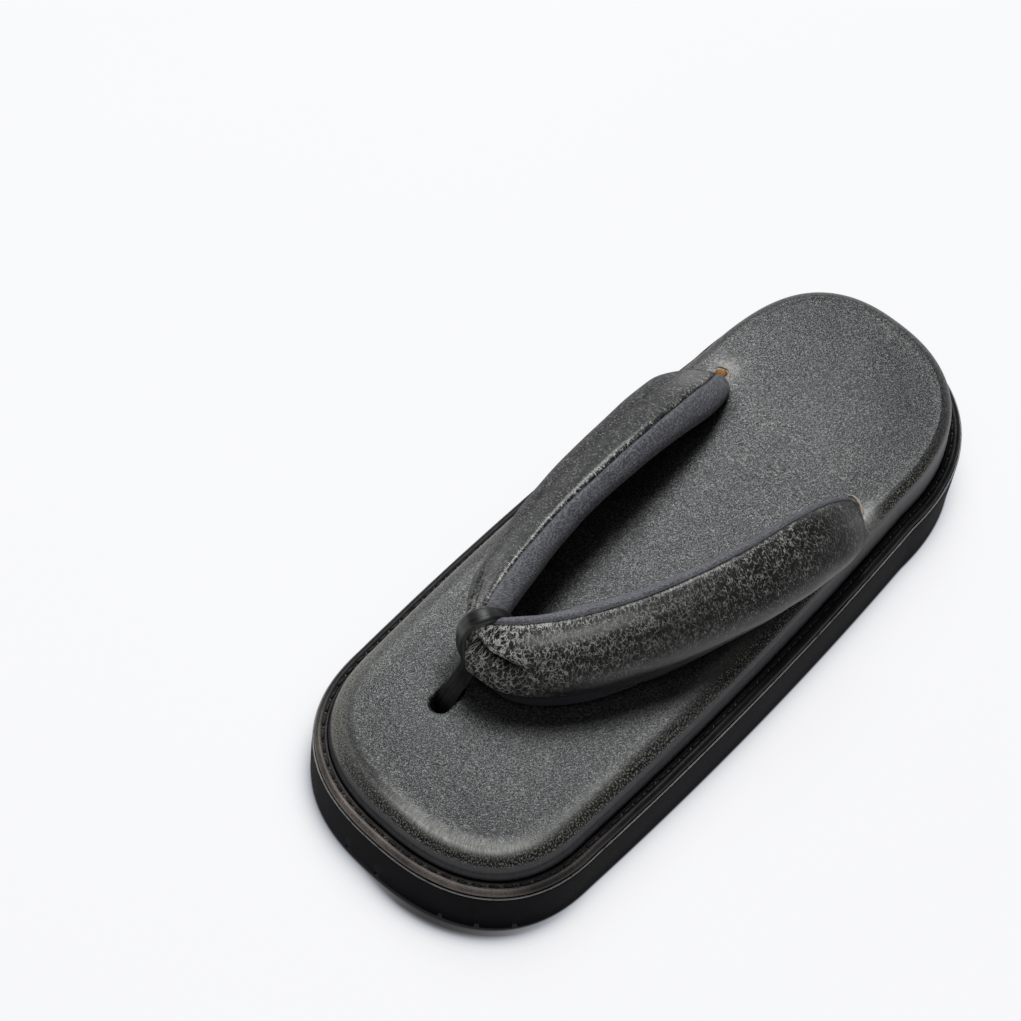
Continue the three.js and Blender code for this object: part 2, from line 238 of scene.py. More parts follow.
def cap_to_axis(ring, steps, first):
    """Rings that shrink a closed ring towards the long axis, and the faces that join them."""
    axis = np.c_[np.zeros(len(ring)), np.clip(ring[:, 1], -84, 76)]
    pts, faces = [], []
    n = len(ring)
    base = first
    for k, f in enumerate(steps):
        p = ring.copy()
        p[:, :2] = axis + (ring[:, :2] - axis) * f
        pts.append(p)
        start = base + k * n
        i = np.arange(n)
        faces.append(np.stack([start - n + i, start - n + (i + 1) % n, start + (i + 1) % n, start + i], -1))
    return pts, faces


# ------------------------------------------------------------------ materials
class Graph:
    def __init__(self, name, **sockets):
        self.material = bpy.data.materials.new(name)
        self.material.use_nodes = True
        self.tree = self.material.node_tree
        self.tree.nodes.clear()
        out = self.tree.nodes.new("ShaderNodeOutputMaterial")
        self.bsdf = self.tree.nodes.new("ShaderNodeBsdfPrincipled")
        self.tree.links.new(self.bsdf.outputs[0], out.inputs[0])
        for key, value in sockets.items():
            self.set(key.replace("_", " "), value)

    def feed(self, socket, value):
        if isinstance(value, bpy.types.NodeSocket):
            self.tree.links.new(value, socket)
        elif value is not None:
            socket.default_value = value

    def set(self, name, value):
        self.feed(self.bsdf.inputs[name], value)

    def node(self, kind, **settings):
        n = self.tree.nodes.new(kind)
        for key, value in settings.items():
            setattr(n, key, value)
        return n

    def math(self, op, a, b=None, c=None, clamp=False):
        n = self.node("ShaderNodeMath", operation=op, use_clamp=clamp)
        for socket, value in zip(n.inputs, (a, b, c)):
            self.feed(socket, value)
        return n.outputs[0]

    def add(self, a, b):
        return self.math("ADD", a, b)

    def mul(self, *values):
        out = values[0]
        for v in values[1:]:
            out = self.math("MULTIPLY", out, v)
        return out

    def one_minus(self, a):
        return self.math("SUBTRACT", 1.0, a)

    def step(self, x, a, b, low=0.0, high=1.0):
        n = self.node("ShaderNodeMapRange", interpolation_type="SMOOTHSTEP", clamp=True)
        self.feed(n.inputs["Value"], x)
        n.inputs["From Min"].default_value, n.inputs["From Max"].default_value = a, b
        n.inputs["To Min"].default_value, n.inputs["To Max"].default_value = low, high
        return n.outputs[0]

    def mix(self, factor, a, b):
        n = self.node("ShaderNodeMix", data_type="RGBA")
        self.feed(n.inputs[0], factor)
        self.feed(n.inputs[6], a if isinstance(a, bpy.types.NodeSocket) else (*a, 1.0))
        self.feed(n.inputs[7], b if isinstance(b, bpy.types.NodeSocket) else (*b, 1.0))
        return n.outputs[2]

    def attribute(self, name):
        n = self.node("ShaderNodeAttribute", attribute_type="GEOMETRY", attribute_name=name)
        return n

    def value(self, name):
        return self.attribute(name).outputs["Fac"]

    def vector(self, name):
        return self.attribute(name).outputs["Vector"]

    def position(self):
        """Object coordinates in millimetres."""
        n = self.node("ShaderNodeTexCoord")
        return self.stretch(n.outputs["Object"], (1000, 1000, 1000))

    def stretch(self, vector, scale, rotation=(0, 0, 0), location=(0, 0, 0)):
        n = self.node("ShaderNodeMapping")
        self.feed(n.inputs["Vector"], vector)
        n.inputs["Scale"].default_value = scale
        n.inputs["Rotation"].default_value = rotation
        n.inputs["Location"].default_value = location
        return n.outputs[0]

    def split(self, vector):
        n = self.node("ShaderNodeSeparateXYZ")
        self.feed(n.inputs[0], vector)
        return n.outputs

    def noise(self, vector, scale, detail=2.0, rough=0.5, distortion=0.0, lacunarity=2.0):
        n = self.node("ShaderNodeTexNoise")
        self.feed(n.inputs["Vector"], vector)
        n.inputs["Scale"].default_value = scale
        n.inputs["Detail"].default_value = detail
        n.inputs["Roughness"].default_value = rough
        n.inputs["Lacunarity"].default_value = lacunarity
        n.inputs["Distortion"].default_value = distortion
        return n

    def grain(self, *args, **kw):
        return self.noise(*args, **kw).outputs["Fac"]

    def cells(self, vector, scale, feature="DISTANCE_TO_EDGE", randomness=1.0):
        n = self.node("ShaderNodeTexVoronoi", feature=feature)
        self.feed(n.inputs["Vector"], vector)
        n.inputs["Scale"].default_value = scale
        n.inputs["Randomness"].default_value = randomness
        return n.outputs["Distance"]

    def warp(self, vector, scale, amount):
        """The vector moved about by up to about half of amount."""
        n = self.noise(vector, scale, 2.0, 0.5)
        sub = self.node("ShaderNodeVectorMath", operation="SUBTRACT")
        self.feed(sub.inputs[0], n.outputs["Color"])
        sub.inputs[1].default_value = (0.5, 0.5, 0.5)
        mul = self.node("ShaderNodeVectorMath", operation="SCALE")
        self.feed(mul.inputs[0], sub.outputs[0])
        mul.inputs["Scale"].default_value = amount
        add = self.node("ShaderNodeVectorMath", operation="ADD")
        self.feed(add.inputs[0], vector)
        self.feed(add.inputs[1], mul.outputs[0])
        return add.outputs[0]

    def bump(self, height, depth_mm, strength=1.0, normal=None):
        n = self.node("ShaderNodeBump")
        n.inputs["Strength"].default_value = strength
        n.inputs["Distance"].default_value = depth_mm * MM
        self.feed(n.inputs["Height"], height)
        self.feed(n.inputs["Normal"], normal)
        return n.outputs[0]


def rubber_material():
    g = Graph("sole_rubber", Metallic=0.0)
    p = g.position()
    patch = g.grain(p, 0.06, 3.0, 0.6)
    fine = g.grain(p, 2.6, 3.0, 0.6)
    scuff = g.grain(g.stretch(p, (0.5, 0.5, 2.0)), 0.5, 4.0, 0.65)
    tone = g.mix(g.step(patch, 0.35, 0.7), (0.0036, 0.0037, 0.0046), (0.0058, 0.0059, 0.0072))
    tone = g.mix(g.mul(g.step(scuff, 0.62, 0.74), 0.25), tone, (0.014, 0.014, 0.015))
    g.set("Base Color", tone)
    g.set("Roughness", g.step(fine, 0.3, 0.7, 0.56, 0.72))
    g.set("Specular IOR Level", 0.02)
    g.set("Normal", g.bump(fine, 0.06, 0.6))
    return g.material


def edge_highlight_material():
    g = Graph("sole_edge_highlight", Metallic=0.0)
    p = g.position()
    n = g.grain(p, 0.22, 3.0, 0.6)
    y = g.split(p)[1]
    toe = g.step(y, -100.0, -60.0)
    # painted highlight: the line is light grey, a little lighter behind the toe, with darker patches
    pale = g.mix(toe, (0.330, 0.325, 0.320), (0.400, 0.400, 0.405))
    g.set("Base Color", g.mix(g.step(n, 0.25, 0.50), (0.120, 0.119, 0.118), pale))
    g.set("Roughness", 0.5)
    return g.material


def welt_material():
    g = Graph("welt_leather", Metallic=0.0)
    p = g.position()
    burnish = g.value("burnish")
    fine = g.grain(p, 1.7, 3.0, 0.6)
    patch = g.grain(p, 0.16, 3.0, 0.6)
    tone = g.mix(g.step(patch, 0.35, 0.65), (0.0085, 0.0085, 0.0090), (0.0170, 0.0168, 0.0170))
    rub = g.mul(burnish, g.step(patch, 0.2, 0.62, 0.55, 1.0))
    tone = g.mix(rub, tone, g.mix(g.step(fine, 0.35, 0.65), (0.125, 0.101, 0.086), (0.240, 0.200, 0.172)))
    g.set("Base Color", tone)
    g.set("Roughness", g.step(fine, 0.3, 0.7, 0.36, 0.5))
    g.set("Specular IOR Level", g.add(0.16, g.mul(burnish, 0.26)))
    g.set("Normal", g.bump(fine, 0.05, 0.6))
    return g.material


def thread_material(name, tone_a, tone_b, rough):
    g = Graph(name, Metallic=0.0)
    p = g.position()
    twist = g.grain(g.stretch(p, (2.0, 2.0, 2.0)), 1.4, 2.0, 0.6)
    g.set("Base Color", g.mix(g.step(twist, 0.35, 0.65), tone_a, tone_b))
    g.set("Roughness", rough)
    g.set("Normal", g.bump(twist, 0.08, 0.7))
    return g.material


def footbed_material():
    g = Graph("footbed_leather", Metallic=0.0)
    p = g.position()
    across = g.value("across")
    ring = g.vector("ring")  # along the edge, across the edge
    inner = g.mul(g.step(g.split(p)[0], -18.0, -36.0), g.step(g.split(p)[1], 10.0, -40.0))
    low = g.add(across, g.mul(inner, 2.6))
    wall = g.one_minus(g.step(low, 8.2, 10.0))
    rim = g.mul(g.step(low, 8.4, 10.0), g.one_minus(g.step(across, 13.2, 15.8)))
    pale, strap_shade = g.value("pale"), g.value("strap_shade")

    # fine worn grain: crisp pale specks on black and duller pores between them
    wp = g.warp(p, 0.9, 0.7)
    speck = g.grain(g.stretch(g.stretch(wp, (1.0, 1.0, 1.0), (0, 0, math.radians(-57))), (0.62, 1.12, 1.0)), 1.8, 2.0, 0.60)
    tiny = g.grain(g.stretch(wp, (1.0, 1.0, 1.0), (0, 0, 0.7)), 2.4, 1.0, 0.5)
    heel = g.step(g.split(p)[1], 70.0, 115.0)
    patch = g.grain(p, 0.028, 3.0, 0.55)
    mid = g.grain(p, 0.12, 3.0, 0.6)
    rise = g.add(g.mul(g.step(patch, 0.3, 0.7), 0.03), g.mul(g.step(mid, 0.3, 0.7), 0.03))
    fleck = g.step(g.add(tiny, rise), 0.585, 0.68)
    fleck = g.math("MAXIMUM", g.mul(fleck, 0.9), g.step(g.add(speck, rise), 0.595, 0.69))
    # fewer specks towards the heel, and fewer close to the straps as part of their painted shade
    fleck = g.mul(fleck, g.one_minus(g.mul(heel, 0.35)), g.one_minus(g.mul(strap_shade, 0.70)))
    pore = g.mul(g.step(tiny, 0.52, 0.42), g.step(speck, 0.56, 0.44))
    base = g.mix(g.step(patch, 0.3, 0.7), (0.0078, 0.0092, 0.0106), (0.0105, 0.0122, 0.0138))
    base = g.mix(g.mul(pore, 0.8), base, (0.0030, 0.0032, 0.0036))
    # painted shade: darker base close to the straps
    base = g.mix(g.mul(strap_shade, 0.6), base, (0.0030, 0.0033, 0.0038))
    top = g.mix(g.mul(fleck, 0.52), base, (0.270, 0.268, 0.246))

    # rim: black, with specks drawn out a little across the edge
    streak = g.grain(g.stretch(ring, (1.9, 1.15, 1.0)), 1.0, 2.0, 0.60)
    edge = g.mix(g.step(g.add(streak, g.mul(inner, 0.095)), 0.52, 0.62), (0.0035, 0.0035, 0.0037), (0.310, 0.300, 0.260))
    # painted light: the rim is lightened at the heel to soften the dark ring its shading gives it
    top = g.mix(g.mul(rim, heel, 0.12), top, (0.270, 0.268, 0.246))
    tone = g.mix(g.mul(rim, g.value("mottle")), top, edge)
    # pale band along the rim: rubbed wear and a painted highlight where the rim curves over
    radial = g.grain(g.stretch(ring, (1.3, 0.30, 1.0)), 1.0, 2.0, 0.6)
    wear_and_highlight = g.mix(g.step(radial, 0.38, 0.64), (0.330, 0.326, 0.312), (0.560, 0.550, 0.512))
    tone = g.mix(g.mul(pale, 0.85), tone, wear_and_highlight)

    # wall: smooth, with faint upright marks
    upright = g.grain(g.stretch(ring, (0.9, 0.12, 1.0)), 0.8, 3.0, 0.6)
    side = g.mix(g.step(upright, 0.35, 0.7), (0.0150, 0.0158, 0.0188), (0.0270, 0.0283, 0.0330))
    # painted reflection: the wall is lighter grey towards the heel, standing in for the white floor mirrored in its
    # glossy leather
    side = g.mix(g.mul(heel, 0.8), side, (0.060, 0.061, 0.067))
    tone = g.mix(wall, tone, side)
    g.set("Base Color", tone)

    rough = g.step(speck, 0.36, 0.62, 0.42, 0.35)
    rough = g.add(rough, g.mul(wall, 0.10))
    g.set("Roughness", rough)
    gloss = g.step(g.add(g.mul(tiny, 0.6), g.mul(speck, 0.4)), 0.38, 0.62, 0.31, 0.74)
    gloss = g.mul(gloss, g.one_minus(g.mul(rim, g.value("mottle"), 0.5)), g.one_minus(g.mul(heel, 0.20)), g.one_minus(g.mul(strap_shade, 0.62)))
    shine = g.step(g.split(p)[1], 10.0, 95.0, 0.55, 1.0)
    g.set("Specular IOR Level", g.add(g.mul(gloss, g.one_minus(wall)), g.mul(wall, shine)))

    # bump: grain, and the shallow slanting wrinkles between the straps
    slant = g.stretch(p, (0.16, 0.62, 1.0), (0, 0, math.radians(38)))
    wrinkle = g.grain(g.warp(slant, 0.6, 0.5), 1.0, 2.0, 0.5)
    n = g.bump(g.mul(wrinkle, g.value("between")), 0.45, 0.6)
    n = g.bump(g.mul(g.add(speck, g.mul(tiny, 0.8)), g.one_minus(g.mul(wall, 0.92))), 0.20, 0.6, n)
    g.set("Normal", n)
    return g.material


def strap_leather_material():
    g = Graph("strap_leather", Metallic=0.0)
    st = g.vector("strap_mm")
    wear, fine, flat, dull = g.value("wear"), g.value("fine"), g.value("flat"), g.value("dull")
    thin, seam_and_crease_shade, painted_crown_sheen = g.value("thin"), g.value("seam_and_crease_shade"), g.value("painted_crown_sheen")

    # crackle: a net of thin pale lines, drawn out across the strap, in places broken
    w = g.warp(st, 0.8, 1.6)
    net = g.cells(g.stretch(w, (0.56, 0.30, 1.0), (0, 0, math.radians(10))), 1.0)
    net2 = g.cells(g.stretch(g.warp(st, 1.1, 0.7), (1.25, 0.80, 1.0), (0, 0, math.radians(24))), 1.0)
    broken = g.step(g.grain(st, 0.42, 3.0, 0.6), 0.38, 0.56)
    narrow = g.add(1.0, g.mul(thin, 0.7))
    line = g.mul(g.one_minus(g.step(g.mul(net, narrow), 0.020, 0.074)), g.step(broken, 0.0, 1.0, 0.20, 1.0))
    line2 = g.mul(g.one_minus(g.step(net2, 0.01, 0.09)), broken, 0.10)
    fibre = g.grain(g.stretch(g.warp(st, 0.6, 1.2), (0.50, 0.21, 1.0), (0, 0, math.radians(12))), 1.0, 1.0, 0.5)
    fibre = g.math("MAXIMUM", g.one_minus(g.mul(g.math("ABSOLUTE", g.math("SUBTRACT", fibre, 0.5)), g.mul(narrow, 25.0))), 0.0)
    fibre = g.mul(fibre, g.step(g.grain(st, 0.40, 2.0, 0.6), 0.36, 0.50))
    crackle = g.math("MAXIMUM", g.math("MAXIMUM", line, g.mul(fibre, 0.9)), line2)

    # towards the rear the net thins to short slanting marks
    sl = g.stretch(g.warp(st, 0.7, 1.0), (0.95, 0.42, 1.0), (0, 0, math.radians(24)))
    ridge = g.grain(sl, 1.0, 1.0, 0.5)
    ridge = g.one_minus(g.mul(g.math("ABSOLUTE", g.math("SUBTRACT", ridge, 0.5)), 27.0))
    gate = g.step(g.grain(st, 0.40, 2.0, 0.6), 0.34, 0.50)
    marks = g.mul(g.math("MAXIMUM", ridge, 0.0), gate)
    speck = g.step(g.grain(st, 1.7, 2.0, 0.6), 0.60, 0.74)
    marks = g.math("MAXIMUM", g.mul(marks, 1.0), g.mul(speck, 0.22))
    pattern = g.add(g.mul(crackle, g.one_minus(fine)), g.mul(marks, fine))
    pattern = g.mul(pattern, wear, g.one_minus(g.mul(seam_and_crease_shade, 0.9)), g.one_minus(g.mul(painted_crown_sheen, 0.55)))

    patch = g.grain(st, 0.10, 3.0, 0.6)
    base = g.mix(g.step(patch, 0.3, 0.7), (0.0038, 0.0038, 0.0042), (0.0068, 0.0068, 0.0073))
    # smooth grey stretches: the medial strap's own grey, and on the lateral strap a painted sheen along the crown and
    # painted floor bounce light along the lower edge
    haze = g.mix(g.step(g.grain(st, 1.1, 3.0, 0.62), 0.35, 0.68), (0.0195, 0.0208, 0.0230), (0.0420, 0.0428, 0.0445))
    base = g.mix(flat, base, haze)
    # painted highlight: a light grey patch along the lateral strap's crown, with fewer crackle lines there
    base = g.mix(g.mul(painted_crown_sheen, g.step(g.grain(st, 0.5, 3.0, 0.6), 0.30, 0.62, 0.45, 1.0)), base, (0.255, 0.262, 0.250))
    # painted shade: near-black in the seam troughs and creases, with the crackle faded there
    base = g.mix(g.mul(seam_and_crease_shade, 0.9), base, (0.0015, 0.0015, 0.0016))
    g.set("Base Color", g.mix(pattern, base, (0.86, 0.845, 0.765)))
    g.set("Roughness", g.add(g.step(pattern, 0.0, 1.0, 0.36, 0.52), g.mul(dull, 0.25)))
    g.set("Specular IOR Level", g.mul(g.math("SUBTRACT", 0.58, g.mul(dull, 0.46)), g.one_minus(g.mul(seam_and_crease_shade, 0.85))))
    pillow = g.step(net, 0.0, 0.30)
    n = g.bump(g.grain(st, 0.16, 3.0, 0.55), 0.6, 0.35)
    n = g.bump(g.mul(pillow, g.one_minus(g.math("MAXIMUM", flat, fine))), 0.13, 0.6, n)
    n = g.bump(g.grain(st, 2.0, 2.0, 0.6), 0.08, 0.6, n)
    g.set("Normal", n)
    return g.material


def suede_material():
    g = Graph("strap_lining", Metallic=0.0)
    st = g.vector("strap_mm")
    nap = g.grain(g.stretch(st, (0.65, 1.0, 1.0)), 1.7, 3.0, 0.70)
    patch = g.grain(st, 0.12, 3.0, 0.6)
    tone = g.mix(g.step(patch, 0.3, 0.7), (0.080, 0.080, 0.090), (0.112, 0.112, 0.125))
    tone = g.mix(g.mul(g.step(nap, 0.40, 0.64), 0.85), tone, (0.285, 0.285, 0.312))
    rear = g.step(g.split(st)[0], 70.0, 128.0)
    tone = g.mix(g.mul(rear, 0.26), tone, (0.050, 0.050, 0.058))
    # painted shade on the lining below the lower seam
    tone = g.mix(g.mul(g.value("under"), 0.94), tone, (0.0200, 0.0206, 0.0245))
    g.set("Base Color", tone)
    g.set("Roughness", 0.92)
    g.set("Specular IOR Level", 0.2)
    g.set("Sheen Weight", 0.10)
    g.set("Sheen Roughness", 0.45)
    g.set("Normal", g.bump(nap, 0.35, 0.8))
    return g.material


def band_material():
    g = Graph("band_leather", Metallic=0.0)
    st = g.vector("strap_mm")
    share = g.math("ABSOLUTE", g.split(st)[2])
    flatst = g.stretch(st, (1.0, 1.0, 0.0))
    fibre = g.grain(g.stretch(flatst, (0.07, 1.1, 1.0)), 1.3, 3.0, 0.6)
    patch = g.grain(flatst, 0.3, 2.0, 0.5)
    tone = g.mix(g.step(fibre, 0.35, 0.7), (0.0070, 0.0070, 0.0075), (0.0210, 0.0210, 0.0216))
    # painted highlight: the band's side edges are lighter grey
    g.set("Base Color", g.mix(g.mul(g.step(share, 0.93, 0.99), 0.8), tone, (0.085, 0.084, 0.082)))
    g.set("Roughness", g.step(patch, 0.3, 0.7, 0.34, 0.46))
    g.set("Specular IOR Level", 0.5)
    g.set("Normal", g.bump(fibre, 0.30, 0.6))
    return g.material


def raw_leather_material(name, dark, light):
    g = Graph(name, Metallic=0.0)
    p = g.position()
    n = g.grain(p, 1.6, 3.0, 0.65)
    g.set("Base Color", g.mix(g.step(n, 0.35, 0.65), dark, light))
    g.set("Roughness", 0.85)
    g.set("Specular IOR Level", 0.2)
    g.set("Normal", g.bump(n, 0.25, 0.8))
    return g.material


# near-black painted shade for the inside of the toe slot
def slot_shade_material():
    g = Graph("slot_inside_shade", Metallic=0.0)
    p = g.position()
    n = g.grain(p, 0.8, 2.0, 0.6)
    g.set("Base Color", g.mix(g.step(n, 0.3, 0.7), (0.004, 0.004, 0.004), (0.008, 0.007, 0.007)))
    g.set("Roughness", 0.9)
    return g.material


# ------------------------------------------------------------------ sole
def build_outsole():
    probe = Outline(400)
    edges = []
    for a in NOTCH_ANGLES:
        s = probe.arc_of_angle(a)
        h = NOTCH["width"] / 2
        edges += [s - h - 0.12, s - h + 0.12, s - h / 3, s + h / 3, s + h - 0.12, s + h + 0.12]
    o = Outline(560, edges)
    cut = np.zeros(o.n)
    for a in NOTCH_ANGLES:
        s = probe.arc_of_angle(a)
        d = np.abs((o.s - s + o.length / 2) % o.length - o.length / 2)
        cut = np.maximum(cut, (d < NOTCH["width"] / 2).astype(float))
    rows = []

    def ring(inset, z, shift):
        p = o.inset(inset) + SOLE_SHIFT * shift
        rows.append(np.c_[p, z])

    y = o.p[:, 1]
    g0, top = ground(y), lip(y)
    depth = cut * NOTCH["depth"]
    ring(1.3 + depth, g0, 1.0)
    ring(0.55 + depth, g0 + 0.15, 1.0)
    ring(0.12 + depth, g0 + 0.6, 1.0)
    ring(0.0 + depth, g0 + 1.2, 1.0)
    ring(0.0 + depth, g0 + NOTCH["height"], 1.0)
    ring(0.0 * depth, g0 + NOTCH["height"] + 0.12, 1.0)
    for f in (0.35, 0.5, 0.65, 0.8, 0.92):
        z = g0 + 4.2 + (top - 1.0 - g0 - 4.2) * f
        ring(-0.12 * math.sin(f * math.pi), z, 1.0 - f)
    ring(0.0, top - 0.9, 0.0)
    ring(0.10, top - 0.45, 0.0)
    ring(0.42, top - 0.12, 0.0)
    ring(0.95, top, 0.0)
    ring(2.6, top + 0.02, 0.0)
    ring(9.0, top + 0.02, 0.0)
    n = o.n
    pts = list(rows)
    faces = [grid_faces(len(rows), n)]
    count = len(rows) * n
    # bottom: flat rings towards the middle
    inner = []
    base_ring = rows[0]
    axis = np.c_[np.zeros(n), np.clip(base_ring[:, 1], -84, 76)]
    for f in (0.9, 0.6, 0.3, 0.02):
        p = base_ring.copy()
        p[:, :2] = axis + (base_ring[:, :2] - axis) * f
        p[:, 2] = ground(p[:, 1])
        inner.append(p)
    i = np.arange(n)
    prev = i
    for k, p in enumerate(inner):
        here = count + k * n + i
        faces.append(np.stack([prev, here, np.roll(here, -1), np.roll(prev, -1)], -1))
        prev = here
    pts += inner
    all_pts = np.vstack(pts)
    quads = np.vstack(faces).tolist()
    quads.append([int(v) for v in prev])
    quads.append([int(v) for v in ((len(rows) - 1) * n + i)[::-1]])
    obj = mesh_object("outsole_rubber", all_pts, quads, [rubber_material()])
    settle_normals(obj)
    return obj


def tube_along(points, radius, sides=8, closed=True, up=(0, 0, 1)):
    """Vertices and quads of a thin tube along a closed or open line."""
    p = np.asarray(points, float)
    t = np.roll(p, -1, 0) - np.roll(p, 1, 0) if closed else np.gradient(p, axis=0)
    t /= np.linalg.norm(t, axis=1)[:, None]
    side = np.cross(t, up)
    side /= np.linalg.norm(side, axis=1)[:, None]
    top = np.cross(side, t)
    a = np.arange(sides) / sides * 2 * math.pi
    r = np.asarray(radius, float)
    r = r.reshape(-1, 1, 1) if r.ndim else r
    v = p[:, None] + (side[:, None] * np.cos(a)[None, :, None] + top[:, None] * np.sin(a)[None, :, None]) * r
    return v.reshape(-1, 3), len(p), sides


def build_edge_highlight():
    """Fine raised line on the sole's upper edge, light grey as a painted highlight."""
    o = Outline(520)
    line = np.c_[o.inset(0.34), lip(o.p[:, 1]) - 0.22]
    v, n, k = tube_along(line, 0.30, 8)
    i, j = np.meshgrid(np.arange(n), np.arange(k), indexing="ij")
    a, b = i * k + j, i * k + (j + 1) % k
    c, d = ((i + 1) % n) * k + (j + 1) % k, ((i + 1) % n) * k + j
    return mesh_object("sole_edge_highlight", v, np.stack([a, b, c, d], -1).reshape(-1, 4), [edge_highlight_material()])


# ------------------------------------------------------------------ welt and its stitches
WELT_SECTION = (  # inset, height above the sole's upper edge, share of the burnish
    (2.4, 0.06, 0.0), (1.10, 0.08, 0.0), (0.78, 0.45, 0.20), (0.74, 1.00, 0.6), (0.86, 1.58, 0.9), (1.18, 2.10, 1.0),
    (1.66, 2.50, 1.0), (2.22, 2.66, 1.0), (2.76, 2.62, 1.0), (3.16, 2.46, 0.75), (3.46, 2.26, 0.60), (3.80, 2.16, 0.50),
    (4.14, 2.26, 0.50), (4.50, 2.46, 0.50), (4.92, 2.50, 0.30), (5.28, 2.34, 0.05), (5.58, 1.95, 0.0), (5.85, 1.35, 0.0),
    (6.6, 0.9, 0.0), (9.0, 0.6, 0.0), (9.0, 0.12, 0.0),
)
STITCH = dict(pitch=5.8, inset=3.80, rise=2.50, radius=0.54, length=4.2)


def build_welt():
    o = Outline(520)
    y = o.p[:, 1]
    rows, burn = [], []
    wob = wave_noise(o.s, 5, (63, 37, 21)) * 0.10
    way = (o.s + o.length / 2) % o.length - o.length / 2
    toe_zone = np.clip(smooth(way, -85, -20) * (1 - 0.75 * smooth(way, 38, 74)) * (1 - smooth(way, 70, 115)) * (0.72 + 0.5 * wave_noise(o.s, 8, (46, 27, 71))), 0, 1)
    for inset, rise, share in WELT_SECTION:
        rows.append(np.c_[o.inset(inset + wob * (inset < 5)), lip(y) + rise])
        burn.append(toe_zone * share)
    n = o.n
    pts = np.vstack(rows)
    faces = np.vstack([grid_faces(len(rows), n), np.stack([
        (len(rows) - 1) * n + np.arange(n), (len(rows) - 1) * n + (np.arange(n) + 1) % n,
        (np.arange(n) + 1) % n, np.arange(n)], -1)])
    obj = mesh_object("welt_leather", pts, faces, [welt_material()], attributes={"burnish": np.concatenate(burn)})
    settle_normals(obj)
    return obj


def capsule(start, end, radius, sides=6, sag=0.0, along=7):
    """A short rounded thread from start to end that arches by sag."""
    start, end = np.asarray(start, float), np.asarray(end, float)
    t = np.linspace(0, 1, along)
    line = start + (end - start) * t[:, None]
    line[:, 2] += sag * 4 * t * (1 - t)
    r = radius * np.sqrt(np.clip(1 - (2 * t - 1) ** 6, 0.04, 1))
    return tube_along(line, r, sides, closed=False)


def join_capsules(name, items, materials):
    verts, faces, kinds, count = [], [], [], 0
    for v, n, k, kind in items:
        q = grid_faces(n, k, True, count)
        faces += q.tolist()
        faces.append([count + i for i in range(k)][::-1])
        faces.append([count + (n - 1) * k + i for i in range(k)])
        kinds += [kind] * (len(q) + 2)
        verts.append(v)
        count += len(v)
    return mesh_object(name, np.vstack(verts), faces, materials, kinds)


def build_welt_stitches():
    o = Outline(2000)
    count = int(round(o.length / STITCH["pitch"]))
    pitch = o.length / count
    jitter = hash_noise(3, (count, 4)) - 0.5
    items = []

    def at(s, inset, rise):
        k = int(round((s % o.length) / o.length * o.n)) % o.n
        p = o.p[k] - o.out[k] * inset
        return np.array([p[0], p[1], lip(o.p[k, 1]) + rise])

    for i in range(count):
        s = i * pitch + jitter[i, 0] * 0.5
        h = STITCH["length"] / 2
        a = at(s - h, STITCH["inset"] + 0.16, STITCH["rise"] - 0.45)
        b = at(s + h, STITCH["inset"] - 0.16, STITCH["rise"] - 0.40)
        items.append((*capsule(a, b, STITCH["radius"], 7, 0.42), 0))
        # the slanting bit of thread between two stitches, mostly light grey as a painted highlight where the thread
        # dips into its hole
        m = s + pitch / 2
        c = at(m - 0.55, STITCH["inset"] - 0.40, STITCH["rise"] - 0.02 + 0.08 * jitter[i, 1])
        d = at(m + 0.35, STITCH["inset"] + 0.42, STITCH["rise"] + 0.02)
        items.append((*capsule(c, d, 0.20 + 0.05 * jitter[i, 2], 5, 0.12, 5), 1 if jitter[i, 3] > -0.22 else 0))
    return join_capsules("welt_stitches", items, [
        thread_material("welt_thread", (0.003, 0.003, 0.0033), (0.008, 0.008, 0.0085), 0.6),
        thread_material("welt_thread_glint", (0.10, 0.098, 0.095), (0.20, 0.195, 0.19), 0.5)])


# ------------------------------------------------------------------ straps
def spline(table, t):
    p = np.vstack([2 * table[0] - table[1], table, 2 * table[-1] - table[-2]])
    n = len(table) - 1
    x = np.clip(np.asarray(t) * n, 0, n - 1e-9)
    i = x.astype(int)
    u = (x - i)[:, None]
    a, b, c, d = p[i], p[i + 1], p[i + 2], p[i + 3]
    return 0.5 * (2 * b + (c - a) * u + (2 * a - 5 * b + 4 * c - d) * u * u + (3 * b - a - 3 * c + d) * u ** 3)


